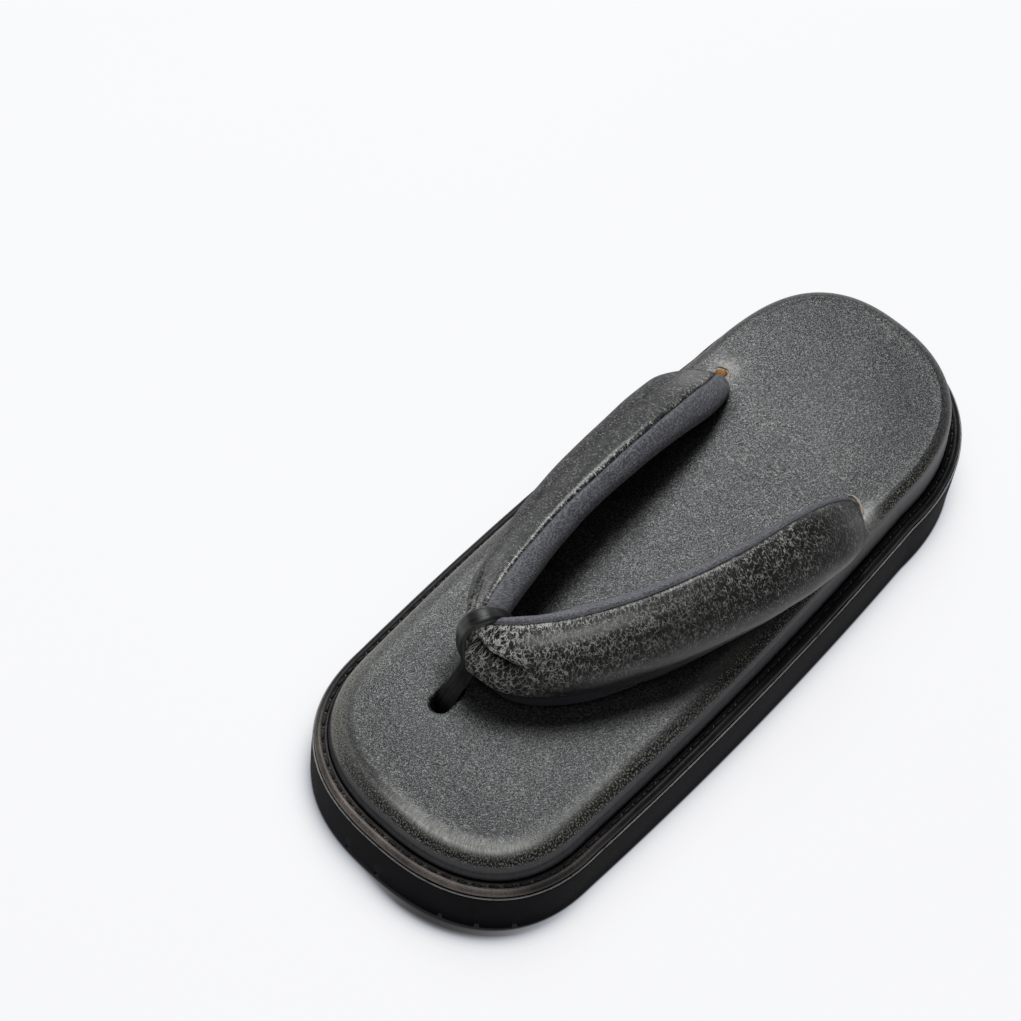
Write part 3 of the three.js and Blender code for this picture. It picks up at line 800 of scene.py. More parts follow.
class Strap:
    """A padded strap. Stations run from the nose (negative s) to the end inside the footbed; around it, theta is 0 at the
    outer edge, 90 degrees in the middle of the leather face and 180 degrees at the inner edge."""

    def __init__(self, table, nose, leather_sign, stations=250, nose_rings=16):
        t = np.linspace(0, 1, 4001)
        q = spline(table, t)
        c = (q[:, :3] + q[:, 3:6]) / 2
        arc = np.r_[0, np.cumsum(np.linalg.norm(np.diff(c, axis=0), axis=1))]
        self.length = arc[-1]
        s = np.linspace(0, self.length, stations)
        q = spline(table, np.interp(s, arc, t))
        self.s, self.c = s, (q[:, :3] + q[:, 3:6]) / 2
        self.w, self.half = (q[:, 3:6] - q[:, :3]) / 2, q[:, 6]
        ahead = np.gradient(self.c, s, axis=0)
        self.ahead = ahead / np.linalg.norm(ahead, axis=1)[:, None]
        nrm = np.cross(self.w, self.ahead) * leather_sign
        self.nrm = nrm / np.linalg.norm(nrm, axis=1)[:, None]
        # nose: the first section shrinks and moves forward
        a = (np.arange(nose_rings, 0, -1) / (nose_rings + 0.35)) * math.pi / 2
        self.nose_scale, nose_s = np.cos(a), -nose * np.sin(a)
        one = np.ones(nose_rings)[:, None]
        self.c = np.vstack([self.c[0] + self.ahead[0] * nose_s[:, None], self.c])
        self.w = np.vstack([self.w[0] * self.nose_scale[:, None], self.w])
        self.half = np.r_[self.half[0] * self.nose_scale, self.half]
        self.nrm = np.vstack([self.nrm[0] * one, self.nrm])
        self.ahead = np.vstack([self.ahead[0] * one, self.ahead])
        self.s = np.r_[nose_s, self.s]

    def surface(self, theta):
        """Points for theta[station, column] in degrees."""
        a = np.radians(theta)
        e = 2 / SECTION_POWER
        u = np.sign(np.cos(a)) * np.abs(np.cos(a)) ** e
        v = np.sign(np.sin(a)) * np.abs(np.sin(a)) ** e
        return self.c[:, None] + self.w[:, None] * u[..., None] + self.nrm[:, None] * (self.half[:, None] * v)[..., None]


def line_distance(s, t, path, s_scale=1.0):
    """Distance in millimetres of each (s, t) to a path of (s, t) points, and the share of the way along it."""
    path = np.asarray(path, float)
    best, where = np.full(s.shape, 1e9), np.zeros(s.shape)
    total = len(path) - 1
    for k in range(total):
        a, b = path[k], path[k + 1]
        d = b - a
        f = np.clip(((s - a[0]) * d[0] + (t - a[1]) * d[1]) / (d @ d), 0, 1)
        r = np.hypot(s - a[0] - f * d[0], t - a[1] - f * d[1])
        near = r < best
        best, where = np.where(near, r, best), np.where(near, (k + f) / total, where)
    return best, where


def build_strap(name, strap, seam_path, low_seam, droop, creases, looks, leather_cols=110, lining_cols=70):
    s = strap.s
    seam = np.interp(s, [p[0] for p in seam_path], [p[1] for p in seam_path])
    low = np.interp(s, [q[0] for q in low_seam], [q[1] for q in low_seam])
    f1 = np.linspace(0, 1, leather_cols, endpoint=False)
    f2 = np.linspace(0, 1, lining_cols, endpoint=False)
    theta = np.hstack([seam[:, None] + (low - seam)[:, None] * f1, low[:, None] + (seam - 360 - low)[:, None] * f2])
    pts = strap.surface(theta)
    rows, cols = theta.shape
    # the lining hangs full below the lower seam, towards the footbed
    hang = np.interp(s, [q[0] for q in droop], [q[1] for q in droop])
    down = strap.w / np.linalg.norm(strap.w, axis=1)[:, None]
    pts += down[:, None] * (hang[:, None] * smooth(theta, -125, -40) * (1 - smooth(theta, -10, low_seam[0][1] + 2)))[..., None]
    # arc length round each section, from the seam down over the leather
    closed = np.concatenate([pts, pts[:, :1]], 1)
    arc = np.concatenate([np.zeros((rows, 1)), np.cumsum(np.linalg.norm(np.diff(closed, axis=1), axis=2), axis=1)], 1)
    girth, arc = arc[:, -1], arc[:, :-1]
    seam_low = arc[:, leather_cols]
    along = np.repeat(s[:, None], cols, 1)
    # surface normals
    ds = np.gradient(pts, axis=0)
    dt = np.roll(pts, -1, 1) - np.roll(pts, 1, 1)
    nrm = np.cross(ds, dt)
    nrm /= np.linalg.norm(nrm, axis=2, keepdims=True) + 1e-9
    outward = pts - strap.c[:, None]
    nrm *= np.sign((nrm * outward).sum(2, keepdims=True))

    # seams: a narrow trough with the leather swelling beside it
    to_seam = np.minimum(arc, girth[:, None] - arc)
    signed = np.where(arc < girth[:, None] / 2, arc, arc - girth[:, None])
    fade = smooth(s, -3.5, 0.5)[:, None]
    lift = -0.55 * bell(to_seam, 0, 0.55) * fade + 0.22 * bell(signed, 2.2, 1.5) * fade + 0.25 * bell(signed, -1.6, 1.2) * fade
    lift -= 0.7 * bell(arc, seam_low[:, None], 0.7) * fade
    lift += np.interp(s, [q[0] for q in looks["belly"]], [q[1] for q in looks["belly"]])[:, None] * bell(theta, -150, 36)
    # soft unevenness of the padding
    lift += 0.16 * wave_noise(along + 0.6 * arc, looks["seed"], (31, 19, 43)) * fade
    lift += 0.10 * wave_noise(along * 0.35 - arc, looks["seed"] + 1, (13, 9.5, 17)) * fade
    # painted shade in the seam troughs, and a dark line beside the upper seam
    seam_and_crease_shade = np.maximum(0.9 * bell(arc, seam_low[:, None], 0.6), 0.75 * bell(to_seam, 0, 0.5)) * fade
    seam_and_crease_shade = np.maximum(seam_and_crease_shade, looks["seam_dark"] * bell(signed, 0.45, 0.75) * fade)
    # painted shade: the lining just below the lower seam is darkened where it hangs in the strap's shade
    under = smooth(arc - seam_low[:, None], -0.6, 0.0) * (1 - smooth(arc - seam_low[:, None], 9, 16))

    def place(ps, pt):
        """(s, theta) as millimetres along and round the strap."""
        k = int(np.argmin(np.abs(s - ps)))
        part = slice(leather_cols, None, -1) if pt >= low[k] else slice(None, leather_cols - 1, -1)
        return ps, np.interp(pt, theta[k, part], arc[k, part])

    for path, depth, width, shoulder in creases:
        d, f = line_distance(along, arc, [place(*q) for q in path])
        taper = smooth(f, 0.0, 0.12) * (1 - smooth(f, 0.62, 1.0))
        lift += -depth * bell(d, 0, width) * taper + shoulder * bell(d, width * 2.4, width * 1.2) * taper
        # painted shade along the crease
        seam_and_crease_shade = np.maximum(seam_and_crease_shade, bell(d, 0, width * 0.85) * taper * min(1.0, depth / 1.6))
    pts = pts + nrm * lift[..., None]

    verts = pts.reshape(-1, 3)
    faces = grid_faces(rows, cols).tolist()
    kind = np.tile(np.r_[np.zeros(leather_cols), np.ones(lining_cols)], rows - 1).astype(int).tolist()
    tip = strap.c[0] + (strap.c[0] - strap.c[1]) * 0.2
    verts = np.vstack([verts, tip, strap.c[-1]])
    n = rows * cols
    for j in range(cols):
        faces.append([n, j, (j + 1) % cols])
        faces.append([n + 1, (rows - 1) * cols + (j + 1) % cols, (rows - 1) * cols + j])
        k = 0 if j < leather_cols else 1
        kind += [k, k]

    wear, fine, flat, dull, thin, painted_crown_sheen = (looks[k](along, arc) for k in ("wear", "fine", "flat", "dull", "thin", "painted_crown_sheen"))
    pad = lambda a: np.r_[a.ravel(), a[0, 0], a[-1, 0]]
    st = np.c_[pad(along), pad(arc), np.full(n + 2, looks["seed"] * 7.0)]
    obj = mesh_object(name, verts, faces, [looks["leather"], looks["lining"]], kind,
                      {"strap_mm": st, "wear": pad(wear), "fine": pad(fine), "flat": pad(flat), "dull": pad(dull),
                       "thin": pad(thin), "seam_and_crease_shade": pad(seam_and_crease_shade), "under": pad(under), "painted_crown_sheen": pad(painted_crown_sheen)})
    settle_normals(obj)
    return obj, (theta, arc, nrm, pts)


# ------------------------------------------------------------------ footbed
def stadium(offset, n=72):
    """Outline of the toe slot, grown by offset."""
    r, half = SLOT["width"] / 2 + offset, SLOT["length"] / 2 - SLOT["width"] / 2
    a = np.linspace(0, 2 * math.pi, n, endpoint=False)
    p = np.c_[r * np.cos(a), r * np.sin(a) + np.where(np.sin(a) >= 0, half, -half)]
    k = math.radians(SLOT["turn"])
    rot = np.array([[math.cos(k), -math.sin(k)], [math.sin(k), math.cos(k)]])
    return p @ rot.T + np.array([SLOT["x"], SLOT["y"]])


def in_stadium(p, offset):
    k = math.radians(-SLOT["turn"])
    rot = np.array([[math.cos(k), -math.sin(k)], [math.sin(k), math.cos(k)]])
    q = (np.asarray(p) - np.array([SLOT["x"], SLOT["y"]])) @ rot.T
    half = SLOT["length"] / 2 - SLOT["width"] / 2
    dy = np.maximum(np.abs(q[:, 1]) - half, 0)
    return np.hypot(q[:, 0], dy) < SLOT["width"] / 2 + offset


def build_footbed(entries):
    o = Outline(520)
    n = o.n
    y = o.p[:, 1]
    rows, across = [], []

    def ring(inset, z, d):
        rows.append(np.c_[o.inset(inset), z])
        across.append(np.full(n, d))

    foot = lip(y) + 0.9
    round_rim, wall_rim = rim_radius(y), rim_inset(y)
    shoulder = footbed_top(y) - round_rim
    ring(9.0, foot, 0.0)
    ring(6.9, foot + 0.1, 0.0)
    ring(6.0, foot + 0.9, 0.6)
    ring(WALL_FOOT - 0.05, foot + 2.0, 1.6)
    for f in (0.25, 0.5, 0.75, 1.0):
        z = foot + 2.0 + (shoulder - foot - 2.0) * f
        bulge = 0.35 * math.sin(math.pi * min(1, f + 0.15))
        ring(WALL_FOOT + (wall_rim - WALL_FOOT) * f - bulge * (1 - f), z, 1.6 + 4.0 * f)
    steps = 16
    for i in range(1, steps + 1):
        a = i / steps * math.pi / 2
        inset = wall_rim + round_rim * (1 - math.cos(a))
        ring(inset, footbed_top(y) - round_rim * (1 - math.sin(a)), 5.6 + RIM_RADIUS * a)
    edge = np.c_[o.inset(wall_rim + round_rim), footbed_top(y)]

    # top: points on a hexagonal grid inside the rim and round the slot
    step = 2.1
    gx, gy = np.meshgrid(np.arange(-54, 54, step), np.arange(-136, 136, step * math.sqrt(3) / 2))
    gx = gx + (np.arange(gx.shape[0]) % 2)[:, None] * step / 2
    cand = np.c_[gx.ravel(), gy.ravel()]
    loop = edge[:, :2]
    d2 = np.min(np.hypot(cand[:, None, 0] - loop[None, ::2, 0], cand[:, None, 1] - loop[None, ::2, 1]), 1)
    inside = points_in_loop(cand, loop)
    cand = cand[inside & (d2 > 1.3) & ~in_stadium(cand, 2.0)]
    hole = stadium(1.1)
    flat_pts = np.vstack([loop, hole, cand])
    m = len(hole)
    wires = [(i, (i + 1) % n) for i in range(n)] + [(n + i, n + (i + 1) % m) for i in range(m)]
    res = delaunay_2d_cdt([Vector(p) for p in flat_pts], wires, [], 1, 1e-6, True)
    cdt_pts = np.array([[v.x, v.y] for v in res[0]])
    cdt_faces = [list(f) for f in res[2]]
    cen = np.array([cdt_pts[f].mean(0) for f in cdt_faces])
    keep = ~in_stadium(cen, 1.05) & points_in_loop(cen, loop)
    cdt_faces = [f for f, k in zip(cdt_faces, keep) if k]

    z = top_height(cdt_pts, loop, entries)
    rim_rows = len(rows)
    base = (rim_rows - 1) * n
    pts = np.vstack([np.vstack(rows[:-1]), np.zeros((0, 3))])
    # outputs of the triangulation come in the order of the inputs: rim, slot, inner points
    assert np.abs(cdt_pts[:n] - loop).max() < 1e-4 and np.abs(cdt_pts[n:n + m] - hole).max() < 1e-4
    cdt3 = np.c_[cdt_pts, z]
    cdt3[:n, 2] = footbed_top(cdt_pts[:n, 1])
    pts = np.vstack([pts, cdt3])
    dist = distance_to_loop(cdt_pts, loop)
    across_all = np.r_[np.concatenate(across[:-1]), 5.6 + RIM_RADIUS * math.pi / 2 + dist]
    faces = grid_faces(rim_rows - 1, n).tolist()
    i = np.arange(n)
    faces += np.stack([base - n + i, base - n + (i + 1) % n, base + (i + 1) % n, base + i], -1).tolist()
    faces += [[base + v for v in f] for f in cdt_faces]
    kinds = [0] * len(faces)

    # slot: the leather rolls in and ends in a cut edge; further down the slot is lined and closed with near-black
    # painted shade
    count = len(pts)
    prev = base + n + np.arange(m)
    for off, drop, kind in ((0.6, 0.07, 0), (0.28, 0.22, 0), (0.08, 0.50, 0), (0.0, 0.85, 0), (0.02, 1.9, 1), (0.1, 3.0, 2), (0.1, 11.0, 2)):
        p = stadium(off, m)
        pts = np.vstack([pts, np.c_[p, footbed_top(p[:, 1]) - drop]])
        across_all = np.r_[across_all, np.full(m, 40.0)]
        here = count + np.arange(m)
        faces += np.stack([prev, np.roll(prev, -1), np.roll(here, -1), here], -1).tolist()
        kinds += [kind] * m
        prev, count = here, len(pts)
    faces.append([int(v) for v in prev])
    kinds.append(2)
    faces.append([int(v) for v in range(n)][::-1])
    kinds.append(0)

    xy = pts[:, :2]
    ring_attr = np.zeros((len(pts), 3))
    ring_attr[:, 0] = nearest_arc(xy, o)
    ring_attr[:, 1] = across_all
    # pale band along the rim, partly rubbed wear and partly a painted highlight on the rounded rim: strong at the toe,
    # weaker at the heel
    way = (ring_attr[:, 0] + o.length / 2) % o.length - o.length / 2  # along the edge from the toe tip
    toe_wear_and_highlight = 1.35 * bell(across_all, 16.1, 2.1) * smooth(way, -18, 20) * (1 - 0.85 * smooth(way, 44, 78)) * (way < 110)
    mottle = 0.86 * (1 - smooth(xy[:, 1], 80, 116)) * (1 - 0.38 * smooth(-way, -4, 40)) * (1 - 0.5 * smooth(-way, 70, 120))
    slit_pale = 0.75 * np.exp(-(((xy[:, 0] - 41.5) ** 2 + (xy[:, 1] - 61.0) ** 2) / 5.2 ** 2))
    slit_pale += 0.85 * np.exp(-(((xy[:, 0] + 34.4) ** 2 + (xy[:, 1] - 73.0) ** 2) / 4.8 ** 2))
    side_pale = 0.10 * bell(across_all, 16.5, 3.0) * (1 - smooth(xy[:, 1], 60, 95))
    medial_pale = 0.10 * bell(across_all, 13.8, 3.4) * smooth(-way, -6, 25) * (1 - 0.5 * smooth(-way, 70, 120))
    pale = np.clip(toe_wear_and_highlight + slit_pale + side_pale + medial_pale, 0, 1)
    lateral_gap, _ = line_distance(xy[:, 0], xy[:, 1], LATERAL[:10, 3:5])
    medial_gap, _ = line_distance(xy[:, 0], xy[:, 1], MEDIAL[1:10, 0:2])
    # painted shade: close to the straps the bed is made darker, duller and less flecked, standing in for the shade the
    # straps cast on it
    strap_shade = np.maximum(1 - smooth(lateral_gap, 8, 17), 1 - smooth(medial_gap, 3, 11))
    mottle *= 1 - 0.45 * (1 - smooth(lateral_gap, 10, 24))
    between = 0.25 + 0.75 * smooth(xy[:, 1], -70, -30) * smooth(-xy[:, 1], -95, -45) * bell(xy[:, 0], 2, 30)
    obj = mesh_object("footbed_cover", pts, faces, [
        footbed_material(), raw_leather_material("slot_cut_edge", (0.065, 0.038, 0.022), (0.130, 0.086, 0.054)), slot_shade_material()],
        kinds, {"across": across_all, "ring": ring_attr, "pale": pale, "mottle": mottle, "between": between, "strap_shade": strap_shade})
    settle_normals(obj)
    return obj


def points_in_loop(p, loop):
    x, y = p[:, 0][:, None], p[:, 1][:, None]
    a, b = loop, np.roll(loop, -1, 0)
    cross = ((a[None, :, 1] > y) != (b[None, :, 1] > y)) & (
        x < (b[None, :, 0] - a[None, :, 0]) * (y - a[None, :, 1]) / (b[None, :, 1] - a[None, :, 1] + 1e-12) + a[None, :, 0])
    return cross.sum(1) % 2 == 1


def distance_to_loop(p, loop):
    out = np.empty(len(p))
    for k in range(0, len(p), 2000):
        q = p[k:k + 2000]
        out[k:k + 2000] = np.min(np.hypot(q[:, None, 0] - loop[None, :, 0], q[:, None, 1] - loop[None, :, 1]), 1)
    return out


def nearest_arc(p, o):
    out = np.empty(len(p))
    for k in range(0, len(p), 2000):
        q = p[k:k + 2000]
        out[k:k + 2000] = o.s[np.argmin(np.hypot(q[:, None, 0] - o.p[None, :, 0], q[:, None, 1] - o.p[None, :, 1]), 1)]
    return out


def top_height(p, loop, entries):
    """Height of the footbed's upper face: a slight crown, soft hollows where the straps go in and at the toe slot."""
    d = distance_to_loop(p, loop)
    z = footbed_top(p[:, 1]) + 0.45 * (1 - np.exp(-(d / 14) ** 2))
    for ex, ey, depth, width in entries:
        z -= depth * np.exp(-(((p[:, 0] - ex) ** 2 + (p[:, 1] - ey) ** 2) / width ** 2))
    z += 0.10 * np.sin(p[:, 0] / 9.0 + p[:, 1] / 15.0) * smooth(d, 3, 14)
    return z


# ------------------------------------------------------------------ toe band
def ribbon(name, path, widths, thick, across_dir, material, edge_round=0.55, cols=26):
    """A leather ribbon along a path; the section is a flat oblong with rounded edges."""
    path = np.asarray(path, float)
    t = np.gradient(path, axis=0)
    t /= np.linalg.norm(t, axis=1)[:, None]
    side = np.tile(np.asarray(across_dir, float), (len(path), 1))
    side -= t * (side * t).sum(1)[:, None]
    side /= np.linalg.norm(side, axis=1)[:, None]
    up = np.cross(t, side)
    a = np.arange(cols) / cols * 2 * math.pi
    u = np.sign(np.cos(a)) * np.abs(np.cos(a)) ** (2 / 7.0)
    v = np.sign(np.sin(a)) * np.abs(np.sin(a)) ** (2 / 2.6)
    widths = np.broadcast_to(np.asarray(widths, float), (len(path),))
    thick = np.broadcast_to(np.asarray(thick, float), (len(path),))
    pts = path[:, None] + side[:, None] * (widths[:, None] / 2 * u)[..., None] + up[:, None] * (thick[:, None] / 2 * v)[..., None]
    arc = np.r_[0, np.cumsum(np.linalg.norm(np.diff(path, axis=0), axis=1))]
    st = np.stack([np.repeat(arc[:, None], cols, 1), widths[:, None] / 2 * np.repeat(u[None], len(path), 0), np.repeat(u[None], len(path), 0)], -1)
    return pts.reshape(-1, 3), st.reshape(-1, 3), len(path), cols


def band_frame():
    h = math.radians(BAND["heading"])
    back = np.array([math.sin(h), math.cos(h), 0.0])
    up = np.array([0.0, 0.0, 1.0])
    across = np.cross(back, up)
    origin = np.array([BAND["x"], BAND["y"], 0.0])
    return origin, back, up, across


# closed way of the band: out of the crotch, over the junction, down round the noses, back under them
BAND_WAY = np.array([
    (-13.5, -61.8, 66.4, 3.6), (-14.4, -64.9, 70.4, 4.6), (-15.8, -68.3, 72.7, 5.7), (-17.8, -71.5, 72.6, 6.2),
    (-19.4, -73.6, 70.4, 6.0), (-20.4, -75.8, 67.0, 5.6), (-20.3, -77.0, 62.0, 5.4), (-19.7, -77.7, 57.0, 5.4),
    (-18.2, -77.6, 52.6, 5.6), (-16.8, -75.2, 50.0, 5.8), (-15.5, -70.5, 49.4, 5.8), (-14.5, -65.5, 50.2, 5.6),
    (-13.6, -61.6, 53.0, 5.0), (-13.0, -60.0, 61.0, 4.6),
])


def closed_spline(rows, n):
    k = len(rows)
    x = np.arange(n) / n * k
    i = x.astype(int)
    u = (x - i)[:, None]
    a, b, c, d = (rows[(i + j) % k] for j in (-1, 0, 1, 2))
    return 0.5 * (2 * b + (c - a) * u + (2 * a - 5 * b + 4 * c - d) * u * u + (3 * b - a - 3 * c + d) * u ** 3)


def build_band():
    origin, back, up, across = band_frame()
    material = band_material()
    way = closed_spline(BAND_WAY, 160)
    # the path runs a little past its start so that its ends meet
    way = np.vstack([way, way[:3]])
    pts, st, rows, cols = ribbon("band", way[:, :3], way[:, 3], 2.2 + 1.7 * smooth(way[:, 2], 66, 72), (0.915, -0.40, 0.0), material)
    faces = grid_faces(rows, cols).tolist()
    verts, coords = [pts], [st]
    count = len(pts)
    # tail: from under the loop down into the slot
    knots = np.array([(0.6, 55.0)] + list(TAIL))
    t = np.linspace(0, 1, 60)
    line = spline(knots, t)
    tail = origin + back * line[:, 0][:, None] + up * line[:, 1][:, None]
    pts, st, rows, cols = ribbon("tail", tail, np.interp(t, [0, 0.35, 1], [6.0, 6.7, 7.0]), 2.4, across, material)
    faces += grid_faces(rows, cols, True, count).tolist()
    faces.append([count + i for i in range(cols)][::-1])
    faces.append([count + (rows - 1) * cols + i for i in range(cols)])
    verts.append(pts)
    coords.append(st + np.array([200.0, 0, 0]))
    obj = mesh_object("toe_band_leather", np.vstack(verts), faces, [material], None, {"strap_mm": np.vstack(coords)})
    settle_normals(obj)
    return obj


# ------------------------------------------------------------------ cut edges where the straps go in
def build_cut_edges():
    """Pale lip of the lateral slit, and the bit of raw leather with its pale rim behind the medial strap."""
    pale = raw_leather_material("slit_lip", (0.30, 0.27, 0.20), (0.52, 0.47, 0.37))
    tan = raw_leather_material("slit_raw", (0.20, 0.070, 0.010), (0.56, 0.27, 0.075))
    verts, faces, kinds = [], [], []

    def tube(points, radius, kind, flatten):
        count = sum(len(v) for v in verts)
        k = np.linspace(0, 1, 40)
        line = spline(np.asarray(points, float), k)
        r = radius * np.sin(np.clip(k, 0.03, 0.97) * math.pi) ** 0.6
        r = r * (0.75 + 0.35 * wave_noise(k * 10, 11 + kind, (2.3, 1.4, 3.7)))
        v, n, sides = tube_along(line, r, 8, closed=False)
        centre = np.repeat(line[:, 2], sides)
        v[:, 2] = centre + (v[:, 2] - centre) * flatten
        q = grid_faces(n, sides, True, count).tolist()
        q.append([count + i for i in range(sides)][::-1])
        q.append([count + (n - 1) * sides + i for i in range(sides)])
        faces.extend(q)
        kinds.extend([kind] * len(q))
        verts.append(v)

    top = lambda x, y: (x, y, footbed_top(y) + 0.25)
    tube([top(31.6, 64.0), top(34.0, 65.2), top(36.9, 64.6), top(39.6, 62.9), top(42.0, 60.6)], 0.75, 0, 0.8)
    # raw spot: a low dome
    count = sum(len(v) for v in verts)
    cx, cy, turn = -34.2, 71.6, math.radians(35)
    rings, sides = 6, 20
    a = np.arange(sides) / sides * 2 * math.pi
    for i in range(rings):
        r = 1 - i / rings
        x, y = 2.4 * r * np.cos(a), 1.7 * r * np.sin(a)
        px, py = cx + x * math.cos(turn) - y * math.sin(turn), cy + x * math.sin(turn) + y * math.cos(turn)
        verts.append(np.c_[px, py, footbed_top(py) - 0.1 + 0.75 * math.sqrt(1 - r * r)])
    q = grid_faces(rings, sides, True, count).tolist()
    q.append([count + (rings - 1) * sides + i for i in range(sides)])
    q.append([count + i for i in range(sides)][::-1])
    faces.extend(q)
    kinds.extend([1] * len(q))
    tube([top(-38.0, 71.6), top(-36.4, 73.2), top(-34.0, 74.2), top(-31.8, 73.6), top(-30.9, 72.0)], 0.5, 0, 0.8)
    obj = mesh_object("slit_edges", np.vstack(verts), faces, [pale, tan], kinds)
    settle_normals(obj)
    return obj


# ------------------------------------------------------------------ assembly
suede = suede_material()
leather = strap_leather_material()

lateral = Strap(LATERAL, NOSE_REACH["lateral"], 1.0)
medial = Strap(MEDIAL, NOSE_REACH["medial"], -1.0)


def lateral_wear(s, t):
    front = 1.0 - 0.38 * smooth(s, 10, 60)
    face = 0.55 + 0.45 * (1 - smooth(t, 8, 16)) + 0.30 * (1 - smooth(s, 3, 14)) * smooth(t, 8, 14)
    low = 1.0 - smooth(t, 19, 28) * smooth(s, 8, 30)
    return np.clip(front * face * (0.10 + 0.90 * low) * (1 - 0.55 * smooth(s, 112, 135)), 0, 1)


lateral_looks = dict(
    seed=1, leather=leather, lining=suede, wear=lateral_wear, seam_dark=1.0, belly=[(0, 0.0)],
    fine=lambda s, t: smooth(s + 0.6 * t, 52, 105),
    # painted sheen along the crown at the front, and painted floor bounce light along the lower edge
    flat=lambda s, t: 0.05 + 0.95 * bell(t, 6.0, 3.4) * smooth(s, 6, 18) * (1 - smooth(s, 45, 75)) + 0.60 * smooth(t, 20, 27) * smooth(s, 14, 45) + 0.20 * smooth(s, 60, 130),
    dull=lambda s, t: 0.50 * smooth(t, 9, 15) * (1 - 0.8 * smooth(t, 19, 24) * smooth(s, 20, 50)),
    thin=lambda s, t: np.clip(smooth(s, 12, 60) + 0.45 * smooth(t, 10, 18), 0, 1),
    # painted highlight along the crown of the strap's front
    painted_crown_sheen=lambda s, t: bell(t, 6.3 - 0.03 * (s - 30), 2.3) * smooth(s, 9, 22) * (1 - smooth(s, 38, 66)))
medial_looks = dict(
    seed=2, leather=leather, lining=suede, seam_dark=0.0,
    belly=[(40, 0.0), (60, 0.6), (85, 1.4), (105, 2.0), (124, 2.8), (136, 2.8), (146, 1.2), (152, 0.0)],
    wear=lambda s, t: np.clip(0.26 + 0.70 * bell(t, 0.9, 1.1) + 0.40 * (1 - smooth(s, 2, 20)), 0, 1),
    fine=lambda s, t: np.clip(smooth(s, 4, 22), 0, 1) + 0 * t,
    flat=lambda s, t: 0.85 * smooth(s, 2, 24) - 0.14 * smooth(s, 35, 60) + 0 * t,
    dull=lambda s, t: 0.85 * smooth(t, 6, 14),
    thin=lambda s, t: np.ones_like(s), painted_crown_sheen=lambda s, t: np.zeros_like(s))

LATERAL_CREASES = [
    # (s, theta) points, depth, width, shoulder
    ([(-4.6, 118), (-2.5, 113), (0.0, 108), (2.3, 100), (5.5, 95), (8.7, 92), (11.0, 88.5), (13.8, 86), (16.0, 83), (22.0, 76)], 3.2, 1.35, 0.40),
]
MEDIAL_CREASES = [
    ([(6.0, 82), (11.0, 79), (14.0, 86), (20.0, 88), (29.0, 74)], 0.9, 0.8, 0.25),
    ([(3.0, 104), (9.0, 98), (15.0, 96), (21.0, 97)], 0.7, 0.7, 0.2),
    # small folded lip of the lining above the band
    ([(4.6, -217), (4.2, -200), (4.6, -185), (6.0, -172)], 0.9, 0.7, 0.5),
]

lateral_piece, lateral_surface = build_strap(
    "lateral_strap", lateral, [(-6, 166), (0, 166), (21, 161), (40, 156), (60, 156), (80, 160), (105, 159), (160, 158)],
    [(-6, 14), (30, 14), (46, 4), (62, -22), (160, -30)],
    [(-5, 0.0), (3, 0.8), (10, 4.0), (18, 5.0), (32, 4.8), (46, 4.2), (62, 3.0), (85, 1.4), (108, 0.0)],
    LATERAL_CREASES, lateral_looks)
medial_piece, medial_surface = build_strap(
    "medial_strap", medial, [(-4, 148), (0, 146), (11, 142), (29, 145), (53, 148), (73, 155), (98, 153), (112, 147), (124, 139), (136, 133), (150, 130)],
    [(-4, 8), (150, 8)],
    [(-4, 0.0), (8, 2.0), (45, 2.5), (80, 2.0), (110, 0.8), (130, 0.0)],
    MEDIAL_CREASES, medial_looks)

entries = [(40.5, 57.0, 0.7, 9.0), (-38.5, 64.5, 0.7, 9.0), (SLOT["x"], SLOT["y"], 0.5, 10.0)]
footbed = build_footbed(entries)
outsole = build_outsole()
edge_highlight = build_edge_highlight()
welt = build_welt()
stitches = build_welt_stitches()
band = build_band()
cut_edges = build_cut_edges()

for piece, node, slot in (
        (outsole, "outsole", "sole_rubber"), (welt, "welt", "welt_leather"), (footbed, "footbed", "footbed_leather"),
        (lateral_piece, "hanao_strap", "strap_leather"), (medial_piece, "hanao_strap", "strap_leather"),
        (band, "toe_band", "band_leather")):
    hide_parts(node)
    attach(piece, "root")
for piece, slot in ((edge_highlight, "sole_rubber"), (stitches, "welt_leather"), (cut_edges, "footbed_leather")):
    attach(piece, "root")

# ------------------------------------------------------------------ stage: floor, light, camera
scene = bpy.context.scene


